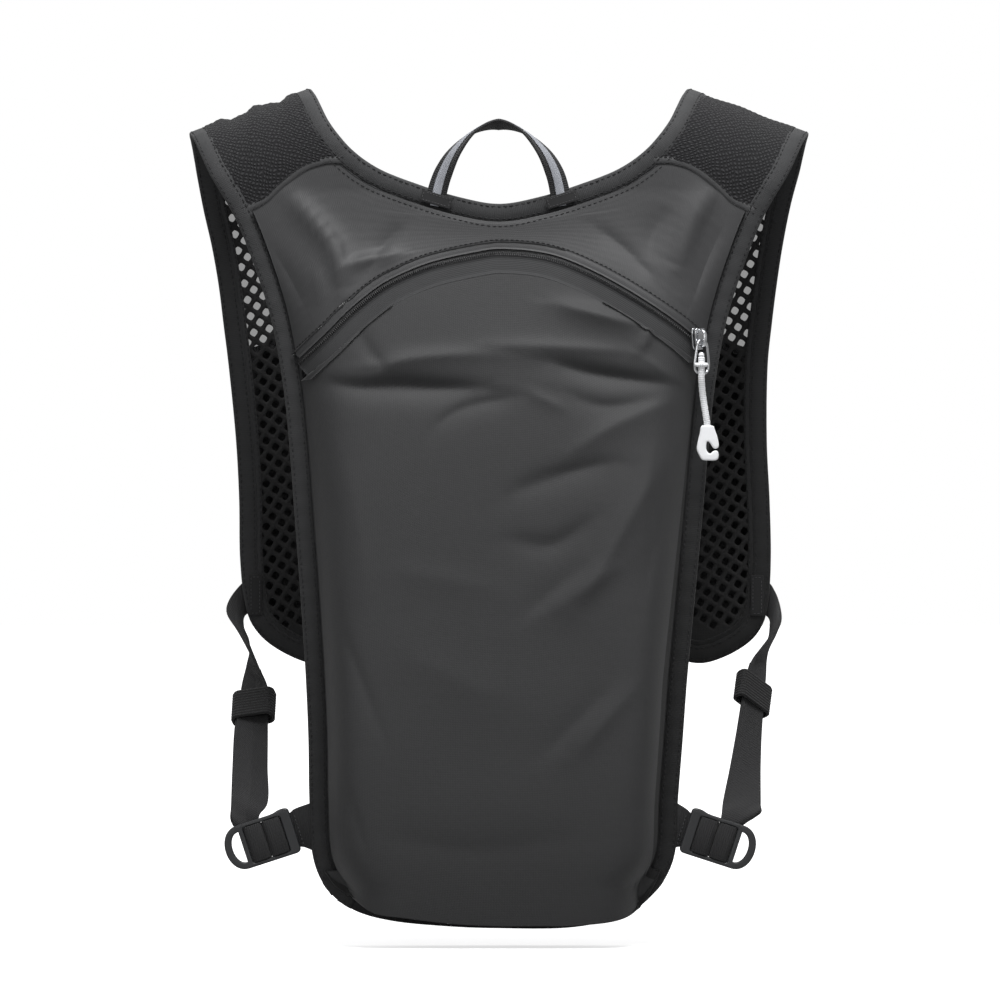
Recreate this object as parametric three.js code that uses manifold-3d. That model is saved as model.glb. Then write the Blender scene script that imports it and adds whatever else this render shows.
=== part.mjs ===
import * as THREE from "three";
import { mergeVertices } from "three/addons/utils/BufferGeometryUtils.js";
import Module from "manifold-3d";

// A running hydration vest, held upright with its pack to the front of the model.
// Millimetres: +X to the right as the pack is looked at, -Y out of the pack, +Z up.
// The origin is midway between the shoulders, at the height of the vest's seat on them.

const wasm = await Module();
wasm.setup();

// Overall sizes that the outline tables are shares of
const HALF_WIDTH = 157;
const LENGTH = 411;
const BODY_DEPTH = 80;
const PACK_DEPTH = 36;

// Layers
const PANEL_THICKNESS = 4;
const MESH_THICKNESS = 3;
const NET_THICKNESS = 1.2;
const CLOTH = 1.2;
const GAP = 0.3;
const CLOTH_GAP = 0.8;

// Edge tapes and seams
const BINDING_WIDTH = 9.5;
const BINDING_THICKNESS = 3;
const BINDING_ROUND = 1.2;
const SEAM_WIDTH = 3.5;
const SEAM_THICKNESS = 3.6;

// Zip
const TAPE_THICKNESS = 1;
const UPPER_TAPE_WIDTH = 4;
const LOWER_TAPE_WIDTH = 9;
const CHAIN_WIDTH = 2.6;
const CHAIN_THICKNESS = 2;
const ZIP_GAP = 0.4;
const SLIDER_LENGTH = 11;
const SLIDER_WIDTH = 7;
const SLIDER_HEIGHT = 4;
const RING_LENGTH = 18;
const RING_WIDTH = 10.5;
const RING_WIRE = 1.2;
const CORD_DIAMETER = 3.4;
const CORD_LENGTH = 23;
const PULL_LENGTH = 17;
const PULL_WIDTH = 11;
const PULL_THICKNESS = 4.5;

// Net of the front straps
const NET_PITCH = 7;
const NET_HOLE = 3.9;
const NET_ANGLE = 34;
const MOST_NET_HOLES = 50;

// Chest pockets
const POCKET_DEPTH = 24;

// Webbing, keepers, ladder locks
const WEBBING = 18;
const WEBBING_THICKNESS = 1.4;
const WEB_CLEARANCE = 0.35;
const KEEPER_HEIGHT = 17;
const KEEPER_THICKNESS = 1.2;
const KEEPER_ROOM = { left: 2.4, right: 1.3 };
const SIDE_TAB_WIDTH = 6.5;
const SIDE_TAB_HEIGHT = 21;
const LOCK_LENGTH = 38;
const LOCK_THICKNESS = 4.4;
const LOCK_RAIL = 1.9;
const LOCK_BAR = 6;
const LOCK_BAR_THICKNESS = 1.8;
const LOCK_CROSS_BAR = 2.4;
const LOCK_END_BAR = 5;
const LOCK_PULL = 9.5;

// Haul loop
const LOOP_WEBBING = 10;
const STRIPE_WIDTH = 3;
const STRIPE_THICKNESS = 0.5;

// Hidden strap over the chest
const CHEST_WEBBING = 20;
const CHEST_DOWN = 0.38;
const CLASP_LENGTH = 34;
const CLASP_THICKNESS = 7;

// Outlines, as shares of the half width and of the length, from the shoulder down
const CREST = [
  { across: 0.611, down: -0.028 },
  { across: 1, down: 0.027 },
];

const ARM_EDGE = [
  { down: 0.028, left: 0.997, right: 0.997 },
  { down: 0.078, left: 0.927, right: 0.927 },
  { down: 0.128, left: 0.85, right: 0.85 },
  { down: 0.169, left: 0.804, right: 0.804 },
  { down: 0.252, left: 0.732, right: 0.732 },
  { down: 0.333, left: 0.692, right: 0.692 },
  { down: 0.404, left: 0.672, right: 0.672 },
  { down: 0.5, left: 0.653, right: 0.65 },
  { down: 0.599, left: 0.634, right: 0.626 },
  { down: 0.696, left: 0.618, right: 0.602 },
  { down: 0.769, left: 0.61, right: 0.588 },
  { down: 0.842, left: 0.607, right: 0.573 },
  { down: 0.91, left: 0.597, right: 0.562 },
  { down: 0.939, left: 0.572, right: 0.532 },
];

const HEM_EDGE = [
  { across: -0.529, down: 0.964 },
  { across: -0.446, down: 0.981 },
  { across: -0.344, down: 0.991 },
  { across: -0.156, down: 0.998 },
  { across: -0.01, down: 1 },
  { across: 0.232, down: 0.999 },
  { across: 0.354, down: 0.99 },
  { across: 0.433, down: 0.977 },
  { across: 0.484, down: 0.962 },
];

const NECKLINE = [
  { across: 0, down: 0.115 },
  { across: 0.124, down: 0.107 },
  { across: 0.252, down: 0.092 },
  { across: 0.389, down: 0.071 },
  { across: 0.475, down: 0.047 },
  { across: 0.541, down: 0.016 },
  { across: 0.611, down: -0.028 },
];

const STRAP_OUTER_EDGE = [
  { down: 0.063, left: 0.99, right: 0.984 },
  { down: 0.112, left: 0.968, right: 0.952 },
  { down: 0.161, left: 0.939, right: 0.927 },
  { down: 0.209, left: 0.917, right: 0.908 },
  { down: 0.258, left: 0.901, right: 0.892 },
  { down: 0.307, left: 0.885, right: 0.879 },
  { down: 0.404, left: 0.86, right: 0.876 },
  { down: 0.477, left: 0.85, right: 0.885 },
  { down: 0.55, left: 0.847, right: 0.889 },
  { down: 0.599, left: 0.834, right: 0.882 },
  { down: 0.629, left: 0.812, right: 0.866 },
  { down: 0.651, left: 0.768, right: 0.828 },
  { down: 0.672, left: 0.682, right: 0.742 },
  { down: 0.681, left: 0.602, right: 0.653 },
];

const STRAP_INNER_EDGE = [
  { down: 0.67, left: 0.529, right: 0.56 },
  { down: 0.644, left: 0.478, right: 0.49 },
  { down: 0.599, left: 0.452, right: 0.452 },
  { down: 0.477, left: 0.443, right: 0.443 },
  { down: 0.258, left: 0.475, right: 0.475 },
  { down: 0.112, left: 0.538, right: 0.538 },
  { down: 0.027, left: 0.583, right: 0.583 },
];

const SHOULDER_SEAM = [
  { across: 0.548, down: 0.062 },
  { across: 0.615, down: 0.07 },
  { across: 0.694, down: 0.092 },
  { across: 0.745, down: 0.11 },
  { across: 0.82, down: 0.124 },
];

const ZIP_ARCH = [
  { across: -0.64, down: 0.311 },
  { across: -0.541, down: 0.276 },
  { across: -0.475, down: 0.25 },
  { across: -0.382, down: 0.221 },
  { across: -0.328, down: 0.209 },
  { across: -0.22, down: 0.192 },
  { across: -0.061, down: 0.178 },
  { across: -0.006, down: 0.175 },
  { across: 0.156, down: 0.181 },
  { across: 0.303, down: 0.203 },
  { across: 0.475, down: 0.241 },
  { across: 0.592, down: 0.273 },
  { across: 0.645, down: 0.291 },
];

const POUCH_BOTTOM = [
  { across: -0.56, down: 0.93 },
  { across: -0.521, down: 0.949 },
  { across: -0.465, down: 0.962 },
  { across: -0.395, down: 0.978 },
  { across: -0.303, down: 0.983 },
  { across: -0.156, down: 0.99 },
  { across: 0, down: 0.993 },
  { across: 0.111, down: 0.993 },
  { across: 0.264, down: 0.992 },
  { across: 0.404, down: 0.984 },
  { across: 0.455, down: 0.972 },
  { across: 0.52, down: 0.93 },
];

// How far the pack stands off the panel down its height, and how square its sides are
const PACK_PROFILE = [
  { down: 0.1, depth: 0, square: 6 },
  { down: 0.15, depth: 0.08, square: 6 },
  { down: 0.2, depth: 0.24, square: 7 },
  { down: 0.25, depth: 0.38, square: 8 },
  { down: 0.3, depth: 0.5, square: 9 },
  { down: 0.4, depth: 0.66, square: 11 },
  { down: 0.5, depth: 0.78, square: 12 },
  { down: 0.6, depth: 0.87, square: 14 },
  { down: 0.7, depth: 0.95, square: 16 },
  { down: 0.82, depth: 1, square: 16 },
  { down: 0.9, depth: 0.97, square: 14 },
  { down: 0.96, depth: 0.88, square: 12 },
  { down: 1, depth: 0.8, square: 10 },
];

// Folds of the pack cloth: a crest or, below zero, a dent between two points of the outline
const FOLDS = [
  { across: -0.36, down: 0.34, toAcross: -0.04, toDown: 0.345, width: 0.035, height: -0.09 },
  { across: -0.31, down: 0.305, toAcross: -0.06, toDown: 0.3, width: 0.03, height: 0.07 },
  { across: -0.06, down: 0.295, toAcross: 0.42, toDown: 0.3, width: 0.03, height: 0.07 },
  { across: 0.16, down: 0.312, toAcross: 0.57, toDown: 0.335, width: 0.03, height: -0.08 },
  { across: -0.2, down: 0.388, toAcross: 0.07, toDown: 0.352, width: 0.03, height: -0.05 },
  { across: 0.18, down: 0.25, toAcross: 0.46, toDown: 0.28, width: 0.045, height: 0.08 },
  { across: 0.41, down: 0.55, toAcross: 0.15, toDown: 0.62, width: 0.05, height: 0.05 },
  { across: 0.3, down: 0.545, toAcross: 0.07, toDown: 0.622, width: 0.035, height: -0.05 },
  { across: 0.45, down: 0.69, toAcross: 0.24, toDown: 0.79, width: 0.05, height: 0.05 },
  { across: -0.575, down: 0.56, toAcross: -0.36, toDown: 0.77, width: 0.03, height: -0.04 },
  { across: -0.5, down: 0.81, toAcross: -0.42, toDown: 0.905, width: 0.03, height: -0.04 },
  { across: -0.55, down: 0.16, toAcross: -0.5, toDown: 0.19, width: 0.05, height: 0.14 },
  { across: 0.62, down: 0.12, toAcross: 0.56, toDown: 0.2, width: 0.05, height: 0.12 },
];

// Looks of the materials
const FABRIC = new THREE.MeshStandardMaterial({ color: 0x424243, roughness: 0.85, metalness: 0 });
const PADDING = new THREE.MeshStandardMaterial({ color: 0x2b2b2d, roughness: 0.95, metalness: 0 });
const TAPE = new THREE.MeshStandardMaterial({ color: 0x3c3d40, roughness: 0.8, metalness: 0 });
const NET = new THREE.MeshStandardMaterial({ color: 0x1d1d1f, roughness: 0.95, metalness: 0 });
const WEB = new THREE.MeshStandardMaterial({ color: 0x3a3a3c, roughness: 0.8, metalness: 0 });
const PLASTIC = new THREE.MeshStandardMaterial({ color: 0x3c3d3f, roughness: 0.45, metalness: 0 });
const STEEL = new THREE.MeshStandardMaterial({ color: 0xc8cacc, roughness: 0.25, metalness: 1 });
const LIGHT = new THREE.MeshStandardMaterial({ color: 0xdfe1e4, roughness: 0.6, metalness: 0 });
const REFLECTIVE = new THREE.MeshStandardMaterial({ color: 0xb9bfc8, roughness: 0.4, metalness: 0.2 });

const vest = new THREE.Group();

function addMesh(name, geometry, material) {
  const mesh = new THREE.Mesh(geometry, material.clone());
  mesh.name = name;
  vest.add(mesh);
}

// Value of a column between the rows of a table, on a smooth curve through them
function valueAt(rows, place, column, at) {
  const last = rows.length - 1;
  const rising = rows[last][place] > rows[0][place];
  const before = (a, b) => (rising ? a < b : a > b);
  let i = 0;
  while (i < last - 1 && before(rows[i + 1][place], at)) i += 1;
  const slope = (k) => {
    const low = rows[Math.max(0, k - 1)];
    const high = rows[Math.min(last, k + 1)];
    return (high[column] - low[column]) / (high[place] - low[place]);
  };
  const from = rows[i];
  const to = rows[i + 1];
  const span = to[place] - from[place];
  const t = Math.min(1, Math.max(0, (at - from[place]) / span));
  const t2 = t * t;
  const t3 = t2 * t;
  return (
    from[column] * (2 * t3 - 3 * t2 + 1) +
    slope(i) * span * (t3 - 2 * t2 + t) +
    to[column] * (3 * t2 - 2 * t3) +
    slope(i + 1) * span * (t3 - t2)
  );
}

// Closed body through sections: each is a loop whose second half runs back beside the first
function loft(sections) {
  const around = sections[0].length;
  const positions = sections.flat().flatMap((p) => [p.x, p.y, p.z]);
  const faces = [];
  for (let row = 0; row < sections.length - 1; row += 1) {
    for (let i = 0; i < around; i += 1) {
      const a = row * around + i;
      const b = row * around + ((i + 1) % around);
      faces.push(a, b, b + around, a, b + around, a + around);
    }
  }
  const end = (sections.length - 1) * around;
  for (let i = 0; i < around / 2 - 1; i += 1) {
    const back = around - 1 - i;
    faces.push(i, back, back - 1, i, back - 1, i + 1);
    faces.push(end + i, end + back - 1, end + back, end + i, end + i + 1, end + back - 1);
  }
  const geometry = new THREE.BufferGeometry();
  geometry.setAttribute("position", new THREE.Float32BufferAttribute(positions, 3));
  geometry.setIndex(faces);
  return facingOut(geometry);
}

function signedVolume(geometry) {
  const position = geometry.getAttribute("position");
  const index = geometry.index;
  const corners = [new THREE.Vector3(), new THREE.Vector3(), new THREE.Vector3()];
  let volume = 0;
  for (let i = 0; i < index.count; i += 3) {
    corners.forEach((corner, k) => corner.fromBufferAttribute(position, index.getX(i + k)));
    volume += corners[0].dot(corners[1].clone().cross(corners[2])) / 6;
  }
  return volume;
}

function facingOut(geometry) {
  if (signedVolume(geometry) < 0) {
    const index = geometry.index;
    for (let i = 0; i < index.count; i += 3) {
      const second = index.getX(i + 1);
      index.setX(i + 1, index.getX(i + 2));
      index.setX(i + 2, second);
    }
  }
  geometry.computeVertexNormals();
  return geometry;
}

// Closed sheet between two grids of points
function slab(outer, inner) {
  return loft(outer.map((row, i) => [...row, ...[...inner[i]].reverse()]));
}

function toSolid(geometry) {
  const bare = new THREE.BufferGeometry();
  bare.setAttribute("position", geometry.getAttribute("position").clone());
  if (geometry.index) bare.setIndex(geometry.index.clone());
  const merged = facingOut(mergeVertices(bare, 1e-4));
  return new wasm.Manifold(
    new wasm.Mesh({
      numProp: 3,
      vertProperties: new Float32Array(merged.getAttribute("position").array),
      triVerts: new Uint32Array(merged.index.array),
    }),
  );
}

function toGeometry(solid) {
  const mesh = solid.getMesh();
  const geometry = new THREE.BufferGeometry();
  geometry.setAttribute("position", new THREE.Float32BufferAttribute(mesh.vertProperties, 3));
  geometry.setIndex(new THREE.BufferAttribute(mesh.triVerts, 1));
  geometry.computeVertexNormals();
  return geometry;
}

// The sheet that the harness lies on: down the back, over the shoulder in an arch, down the front

const HALF_DEPTH = BODY_DEPTH / 2;
const QUARTER = (HALF_DEPTH * Math.PI) / 2;
const CREST_SLOPE =
  ((CREST[1].down - CREST[0].down) * LENGTH) / ((CREST[1].across - CREST[0].across) * HALF_WIDTH);

function crestHeight(x) {
  return -CREST[0].down * LENGTH - CREST_SLOPE * (Math.abs(x) - CREST[0].across * HALF_WIDTH);
}

// Place on the sheet of a height on the back, below zero, or on the front
function runAt(x, z, face) {
  const drop = Math.max(0, crestHeight(x) - z);
  if (drop < HALF_DEPTH) return face * HALF_DEPTH * Math.acos(1 - drop / HALF_DEPTH);
  return face * (QUARTER + drop - HALF_DEPTH);
}

function bendAt(run) {
  return Math.min(QUARTER, Math.max(-QUARTER, run)) / HALF_DEPTH;
}

function sheetNormal(x, run) {
  const bend = bendAt(run);
  const alongX = new THREE.Vector3(1, 0, -CREST_SLOPE * Math.sign(x));
  const alongRun = new THREE.Vector3(0, Math.cos(bend), -Math.sin(bend));
  return alongX.cross(alongRun).normalize();
}

// Point of the sheet: run is the length from the crest, below zero down the back
function sheetPoint(x, run, lift = 0) {
  const bend = bendAt(run);
  const straight = Math.max(0, Math.abs(run) - QUARTER);
  const z = crestHeight(x) - HALF_DEPTH * (1 - Math.cos(bend)) - straight;
  const point = new THREE.Vector3(x, HALF_DEPTH * Math.sin(bend), z);
  return point.addScaledVector(sheetNormal(x, run), lift);
}

// The place on the sheet nearest to a point, as its x and run
function settle(point) {
  const spring = crestHeight(point.x) - HALF_DEPTH;
  const above = point.z - spring;
  const face = Math.sign(point.y) || 1;
  if (above <= 0) return { x: point.x, run: face * (QUARTER - above) };
  return { x: point.x, run: HALF_DEPTH * Math.atan2(point.y, above) };
}

function onSheet(point, lift = 0) {
  const { x, run } = settle(point);
  return sheetPoint(x, run, lift);
}

// Smooth line through places of the sheet, as evenly spaced points on it
function sheetLine(points, step) {
  const curve = new THREE.CatmullRomCurve3(points, false, "centripetal");
  const count = Math.max(2, Math.round(curve.getLength() / step));
  return curve.getSpacedPoints(count).map((p) => onSheet(p));
}

// Directions at each point of a line on the sheet: along it, across it in the sheet, and out
function frameOf(line, i) {
  const from = line[Math.max(0, i - 1)];
  const to = line[Math.min(line.length - 1, i + 1)];
  const along = to.clone().sub(from).normalize();
  const { x, run } = settle(line[i]);
  const out = sheetNormal(x, run);
  const across = along.clone().cross(out).normalize();
  return { along, across, out };
}

function shifted(line, distance) {
  return line.map((p, i) => onSheet(p.clone().addScaledVector(frameOf(line, i).across, distance)));
}

// Flat tape along a line of the sheet, with softened edges
function sheetTape(line, width, thickness) {
  const half = thickness / 2;
  const side = width / 2;
  return loft(
    line.map((p, i) => {
      const { across, out } = frameOf(line, i);
      const at = (a, o) => p.clone().addScaledVector(across, a).addScaledVector(out, o);
      return [
        at(side, 0),
        at(side - BINDING_ROUND, half),
        at(BINDING_ROUND - side, half),
        at(-side, 0),
        at(BINDING_ROUND - side, -half),
        at(side - BINDING_ROUND, -half),
      ];
    }),
  );
}

// Point of a line where one of its coordinates passes a value
function crossing(line, axis, value) {
  for (let i = 1; i < line.length; i += 1) {
    const a = line[i - 1][axis];
    const b = line[i][axis];
    if ((a - value) * (b - value) <= 0 && a !== b) {
      return line[i - 1].clone().lerp(line[i], (value - a) / (b - a));
    }
  }
  return line[line.length - 1].clone();
}

function lengthsOf(line) {
  const lengths = [0];
  for (let i = 1; i < line.length; i += 1) {
    lengths.push(lengths[i - 1] + line[i].distanceTo(line[i - 1]));
  }
  return lengths;
}

// Part of a line between two lengths along it, in even steps
function stretch(line, from, to, step) {
  const lengths = lengthsOf(line);
  const count = Math.max(2, Math.round((to - from) / step));
  return Array.from({ length: count + 1 }, (_, k) => {
    const length = from + ((to - from) * k) / count;
    let i = 1;
    while (i < line.length - 1 && lengths[i] < length) i += 1;
    const t = (length - lengths[i - 1]) / (lengths[i] - lengths[i - 1]);
    return line[i - 1].clone().lerp(line[i], Math.min(1, Math.max(0, t)));
  });
}

// Length along a line where it comes nearest to a point
function lengthAt(line, point) {
  const lengths = lengthsOf(line);
  let best = 0;
  line.forEach((p, i) => {
    if (p.distanceTo(point) < line[best].distanceTo(point)) best = i;
  });
  return lengths[best];
}

// Places in the outline tables
function backPlace(across, down) {
  const x = across * HALF_WIDTH;
  return sheetPoint(x, runAt(x, -down * LENGTH, -1));
}

function frontPlace(across, down) {
  const x = across * HALF_WIDTH;
  return sheetPoint(x, runAt(x, -down * LENGTH, 1));
}

const SIDES = [
  { name: "left", sign: -1 },
  { name: "right", sign: 1 },
];
const LINE_STEP = 2.5;
const LONGEST_STEP = 26;
const TURN_STEP = 0.17;
const JOINT_GAP = 0.4;

// The edge of the whole harness is one closed line: from the hem's left end up the arm side,
// over the shoulder, round the left strap, along the neckline, and back down the right side
const armPoints = (side) => ARM_EDGE.map((row) => backPlace(side.sign * row[side.name], row.down));
const strapPoints = (rows, side) =>
  rows.map((row) => frontPlace(side.sign * row[side.name], row.down));
const neckPoints = [
  ...NECKLINE.slice(1)
    .reverse()
    .map((row) => backPlace(-row.across, row.down)),
  ...NECKLINE.map((row) => backPlace(row.across, row.down)),
];
const hemPoints = HEM_EDGE.map((row) => backPlace(row.across, row.down));
const [LEFT, RIGHT] = SIDES;
const edge = sheetLine(
  [
    hemPoints[0],
    ...armPoints(LEFT).reverse(),
    ...strapPoints(STRAP_OUTER_EDGE, LEFT),
    ...strapPoints(STRAP_INNER_EDGE, LEFT),
    ...neckPoints,
    ...strapPoints(STRAP_INNER_EDGE, RIGHT).reverse(),
    ...strapPoints(STRAP_OUTER_EDGE, RIGHT).reverse(),
    ...armPoints(RIGHT),
    ...hemPoints.slice().reverse(),
  ],
  LINE_STEP,
);
const edgeLengths = lengthsOf(edge);
const edgeTotal = edgeLengths[edge.length - 1];
const edgeFrames = edge.map((_, i) => frameOf(edge, i));

// The edge moved into the cloth, point by point
function edgeInside(distance) {
  return edge.map((p, i) => onSheet(p.clone().addScaledVector(edgeFrames[i].across, distance)));
}

const clothEdge = edgeInside(BINDING_WIDTH + CLOTH_GAP);
const bindingLine = edgeInside(BINDING_WIDTH / 2);

// Places along the edge, closer together where it turns
function stations(from, to) {
  const found = [];
  let last = -1;
  edge.forEach((_, i) => {
    if (edgeLengths[i] < from || edgeLengths[i] > to) return;
    const turned = last < 0 ? 9 : edgeFrames[i].along.angleTo(edgeFrames[last].along);
    const gone = last < 0 ? 0 : edgeLengths[i] - edgeLengths[last];
    if (turned > TURN_STEP || gone > LONGEST_STEP) {
      found.push(i);
      last = i;
    }
  });
  const end = edgeLengths.findLastIndex((length) => length <= to);
  if (end - found[found.length - 1] < 2) found.pop();
  found.push(end);
  return found;
}

const strapJoints = SIDES.map((side) => lengthAt(edge, strapPoints(STRAP_INNER_EDGE, side)[1]));
const hemJoints = [0, lengthAt(edge, hemPoints[hemPoints.length - 1])];

function binding(name, from, to) {
  const line = stations(from + JOINT_GAP, to - JOINT_GAP).map((i) => bindingLine[i]);
  addMesh(name, sheetTape(line, BINDING_WIDTH, BINDING_THICKNESS), TAPE);
}

binding("arm_binding_left", hemJoints[0], strapJoints[0]);
binding("neck_binding", strapJoints[0], strapJoints[1]);
binding("arm_binding_right", strapJoints[1], hemJoints[1]);
binding("bottom_binding", hemJoints[1], edgeTotal);

// Stretches of the cloth's edge, each a line with one point for each height
const crestPlace = (side, across) => sheetPoint(side.sign * across * HALF_WIDTH, 0);
const armCrests = SIDES.map((side) => lengthAt(edge, crestPlace(side, 1)));
const neckCrests = SIDES.map((side) => lengthAt(edge, crestPlace(side, CREST[0].across)));
const clothStretch = (from, to) =>
  clothEdge.filter((_, i) => edgeLengths[i] >= from && edgeLengths[i] <= to);

// Straight mix of four sides: top and bottom run from left to right, the others downwards
function patch(top, bottom, left, right, across, down) {
  return down.map((v) =>
    across.map((u) => {
      const sides = left(v).clone().multiplyScalar(1 - u).addScaledVector(right(v), u);
      const ends = top(u).clone().multiplyScalar(1 - v).addScaledVector(bottom(u), v);
      const corners = top(0).clone().multiplyScalar((1 - u) * (1 - v));
      corners.addScaledVector(top(1), u * (1 - v));
      corners.addScaledVector(bottom(0), (1 - u) * v);
      corners.addScaledVector(bottom(1), u * v);
      return sides.add(ends).sub(corners);
    }),
  );
}

const shares = (count) => Array.from({ length: count + 1 }, (_, i) => i / count);

// Point at a share of a line's length
function along(line) {
  const lengths = lengthsOf(line);
  const total = lengths[lengths.length - 1];
  return (share) => {
    let i = 1;
    while (i < line.length - 1 && lengths[i] < share * total) i += 1;
    const t = (share * total - lengths[i - 1]) / (lengths[i] - lengths[i - 1]);
    return line[i - 1].clone().lerp(line[i], Math.min(1, Math.max(0, t)));
  };
}

// Two faces of a cloth whose middle is a grid of places on the sheet
function clothOnSheet(grid, thickness) {
  const face = (lift) => grid.map((row) => row.map((p) => onSheet(p, lift)));
  return slab(face(thickness / 2), face(-thickness / 2));
}

// Seam between shoulder mesh and yoke, as a height for each distance from the middle
const seamHeight = (x) => -valueAt(SHOULDER_SEAM, "across", "down", Math.abs(x) / HALF_WIDTH) * LENGTH;
const seamPlace = (x) => sheetPoint(x, runAt(x, seamHeight(x), -1));

// The seam crosses the cloth between the neck's and the arm's binding
const SEAM_STEP = 10;

function seamLine(side) {
  const arm = clothStretch(...(side.sign < 0 ? [0, armCrests[0]] : [armCrests[1], hemJoints[1]]));
  const neck = clothStretch(
    ...(side.sign < 0
      ? [neckCrests[0], (neckCrests[0] + neckCrests[1]) / 2]
      : [(neckCrests[0] + neckCrests[1]) / 2, neckCrests[1]]),
  );
  const meets = (line) => {
    let best = line[0];
    let least = Infinity;
    for (const p of line) {
      const away = Math.abs(p.z - seamHeight(p.x));
      if (away < least) {
        least = away;
        best = p;
      }
    }
    return best.x;
  };
  const from = meets(arm);
  const to = meets(neck);
  return shares(12).map((t) => seamPlace(from + (to - from) * t));
}

for (const side of SIDES) {
  const line = seamLine(side);
  const length = lengthsOf(line)[line.length - 1];
  const seam = stretch(line, CLOTH_GAP, length - CLOTH_GAP, SEAM_STEP);
  addMesh("shoulder_seam_" + side.name, sheetTape(seam, SEAM_WIDTH, SEAM_THICKNESS), FABRIC);
}

// A branch of the cloth's edge gives the distance from the middle for a run or a height
function branch(from, to) {
  const points = clothEdge.filter((_, i) => edgeLengths[i] >= from && edgeLengths[i] <= to);
  const places = points.map((p) => ({ ...settle(p), z: p.z }));
  return { points, places };
}

function xAt(places, key, value) {
  for (let i = 1; i < places.length; i += 1) {
    const a = places[i - 1][key];
    const b = places[i][key];
    if ((a - value) * (b - value) <= 0 && a !== b) {
      return places[i - 1].x + ((places[i].x - places[i - 1].x) * (value - a)) / (b - a);
    }
  }
  const first = Math.abs(places[0][key] - value);
  const last = Math.abs(places[places.length - 1][key] - value);
  return first < last ? places[0].x : places[places.length - 1].x;
}

const hemMiddle = (hemJoints[1] + edgeTotal) / 2;
const neckMiddle = (neckCrests[0] + neckCrests[1]) / 2;

// Each side's lines, all found on the one edge
for (const side of SIDES) {
  const left = side.sign < 0;
  const k = left ? 0 : 1;
  const strap = clothEdge
    .map((p, i) => ({ run: settle(p).run, length: edgeLengths[i] }))
    .filter((p) => (left ? p.length < neckCrests[0] : p.length > neckCrests[1]));
  const tip = strap.reduce((best, p) => (p.run > best.run ? p : best)).length;
  side.tipRun = strap.reduce((best, p) => Math.max(best, p.run), 0);
  side.arm = left ? branch(0, armCrests[k]) : branch(armCrests[k], hemJoints[1]);
  side.overArm = left ? branch(0, tip) : branch(tip, hemJoints[1]);
  side.overNeck = left ? branch(tip, neckMiddle) : branch(neckMiddle, tip);
}

// Knitted mesh over each shoulder, from the yoke's seam to the net
const MESH_FRONT = 47;

for (const side of SIDES) {
  const seam = seamLine(side);
  const first = seam[0];
  const last = seam[seam.length - 1];
  const grid = shares(13).map((v) =>
    shares(5).map((u) => {
      const seamX = first.x + (last.x - first.x) * u;
      const seamRun = settle(seamPlace(seamX)).run + SEAM_WIDTH / 2 + CLOTH_GAP;
      const run = seamRun + (MESH_FRONT - seamRun) * v;
      const outer = xAt(side.overArm.places, "run", run);
      const inner = xAt(side.overNeck.places, "run", run);
      return sheetPoint(outer + (inner - outer) * u, run);
    }),
  );
  addMesh("shoulder_mesh_" + side.name, clothOnSheet(grid, MESH_THICKNESS), NET);
}

// Net of each front strap, cut through above the chest pocket
const NET_ZONE = { from: 0.095, to: 0.262 };
const POCKET_TOP = 0.27;
const NET_MARGIN = 3.5;

function strapGrid(side, fromRun, toRun, columns, rows) {
  return rows.map((v) =>
    columns.map((u) => {
      const run = fromRun + (toRun - fromRun) * v;
      const outer = xAt(side.overArm.places, "run", run);
      const inner = xAt(side.overNeck.places, "run", run);
      return sheetPoint(outer + (inner - outer) * u, run);
    }),
  );
}

const NET_ROWS = [0, 0.06, 0.13, 0.2, 0.35, 0.5, 0.64, 0.75, 0.84, 0.9, 0.94, 0.97, 0.99];

function netHoles(side) {
  const angle = (NET_ANGLE * Math.PI) / 180;
  const centre = frontPlace(side.sign * 0.7, (NET_ZONE.from + NET_ZONE.to) / 2);
  const reach = Math.ceil(LENGTH / NET_PITCH / 4);
  const found = [];
  for (let i = -reach; i <= reach; i += 1) {
    for (let j = -reach; j <= reach; j += 1) {
      const x = centre.x + NET_PITCH * (i * Math.cos(angle) - j * Math.sin(angle));
      const z = centre.z + NET_PITCH * (i * Math.sin(angle) + j * Math.cos(angle));
      const run = runAt(x, z, 1);
      const outer = xAt(side.overArm.places, "run", run);
      const inner = xAt(side.overNeck.places, "run", run);
      const room = Math.min(Math.abs(x - outer), Math.abs(x - inner));
      const between = (x - outer) * (x - inner) < 0;
      const inZone = z < -NET_ZONE.from * LENGTH && z > -NET_ZONE.to * LENGTH;
      if (between && inZone && room > NET_HOLE / 2 + NET_MARGIN) found.push({ x, z });
    }
  }
  found.sort((a, b) => Math.abs(b.x) - Math.abs(a.x));
  return found.slice(0, MOST_NET_HOLES);
}

for (const side of SIDES) {
  const run = MESH_FRONT + GAP;
  const grid = strapGrid(side, run, side.tipRun, shares(4), NET_ROWS);
  let net = toSolid(clothOnSheet(grid, NET_THICKNESS));
  for (const hole of netHoles(side)) {
    const punch = new THREE.BoxGeometry(NET_HOLE, HALF_DEPTH, NET_HOLE);
    punch.rotateY((-NET_ANGLE * Math.PI) / 180);
    punch.translate(hole.x, HALF_DEPTH, hole.z);
    net = net.subtract(toSolid(punch));
  }
  addMesh("strap_net_" + side.name, toGeometry(net), NET);
}

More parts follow.
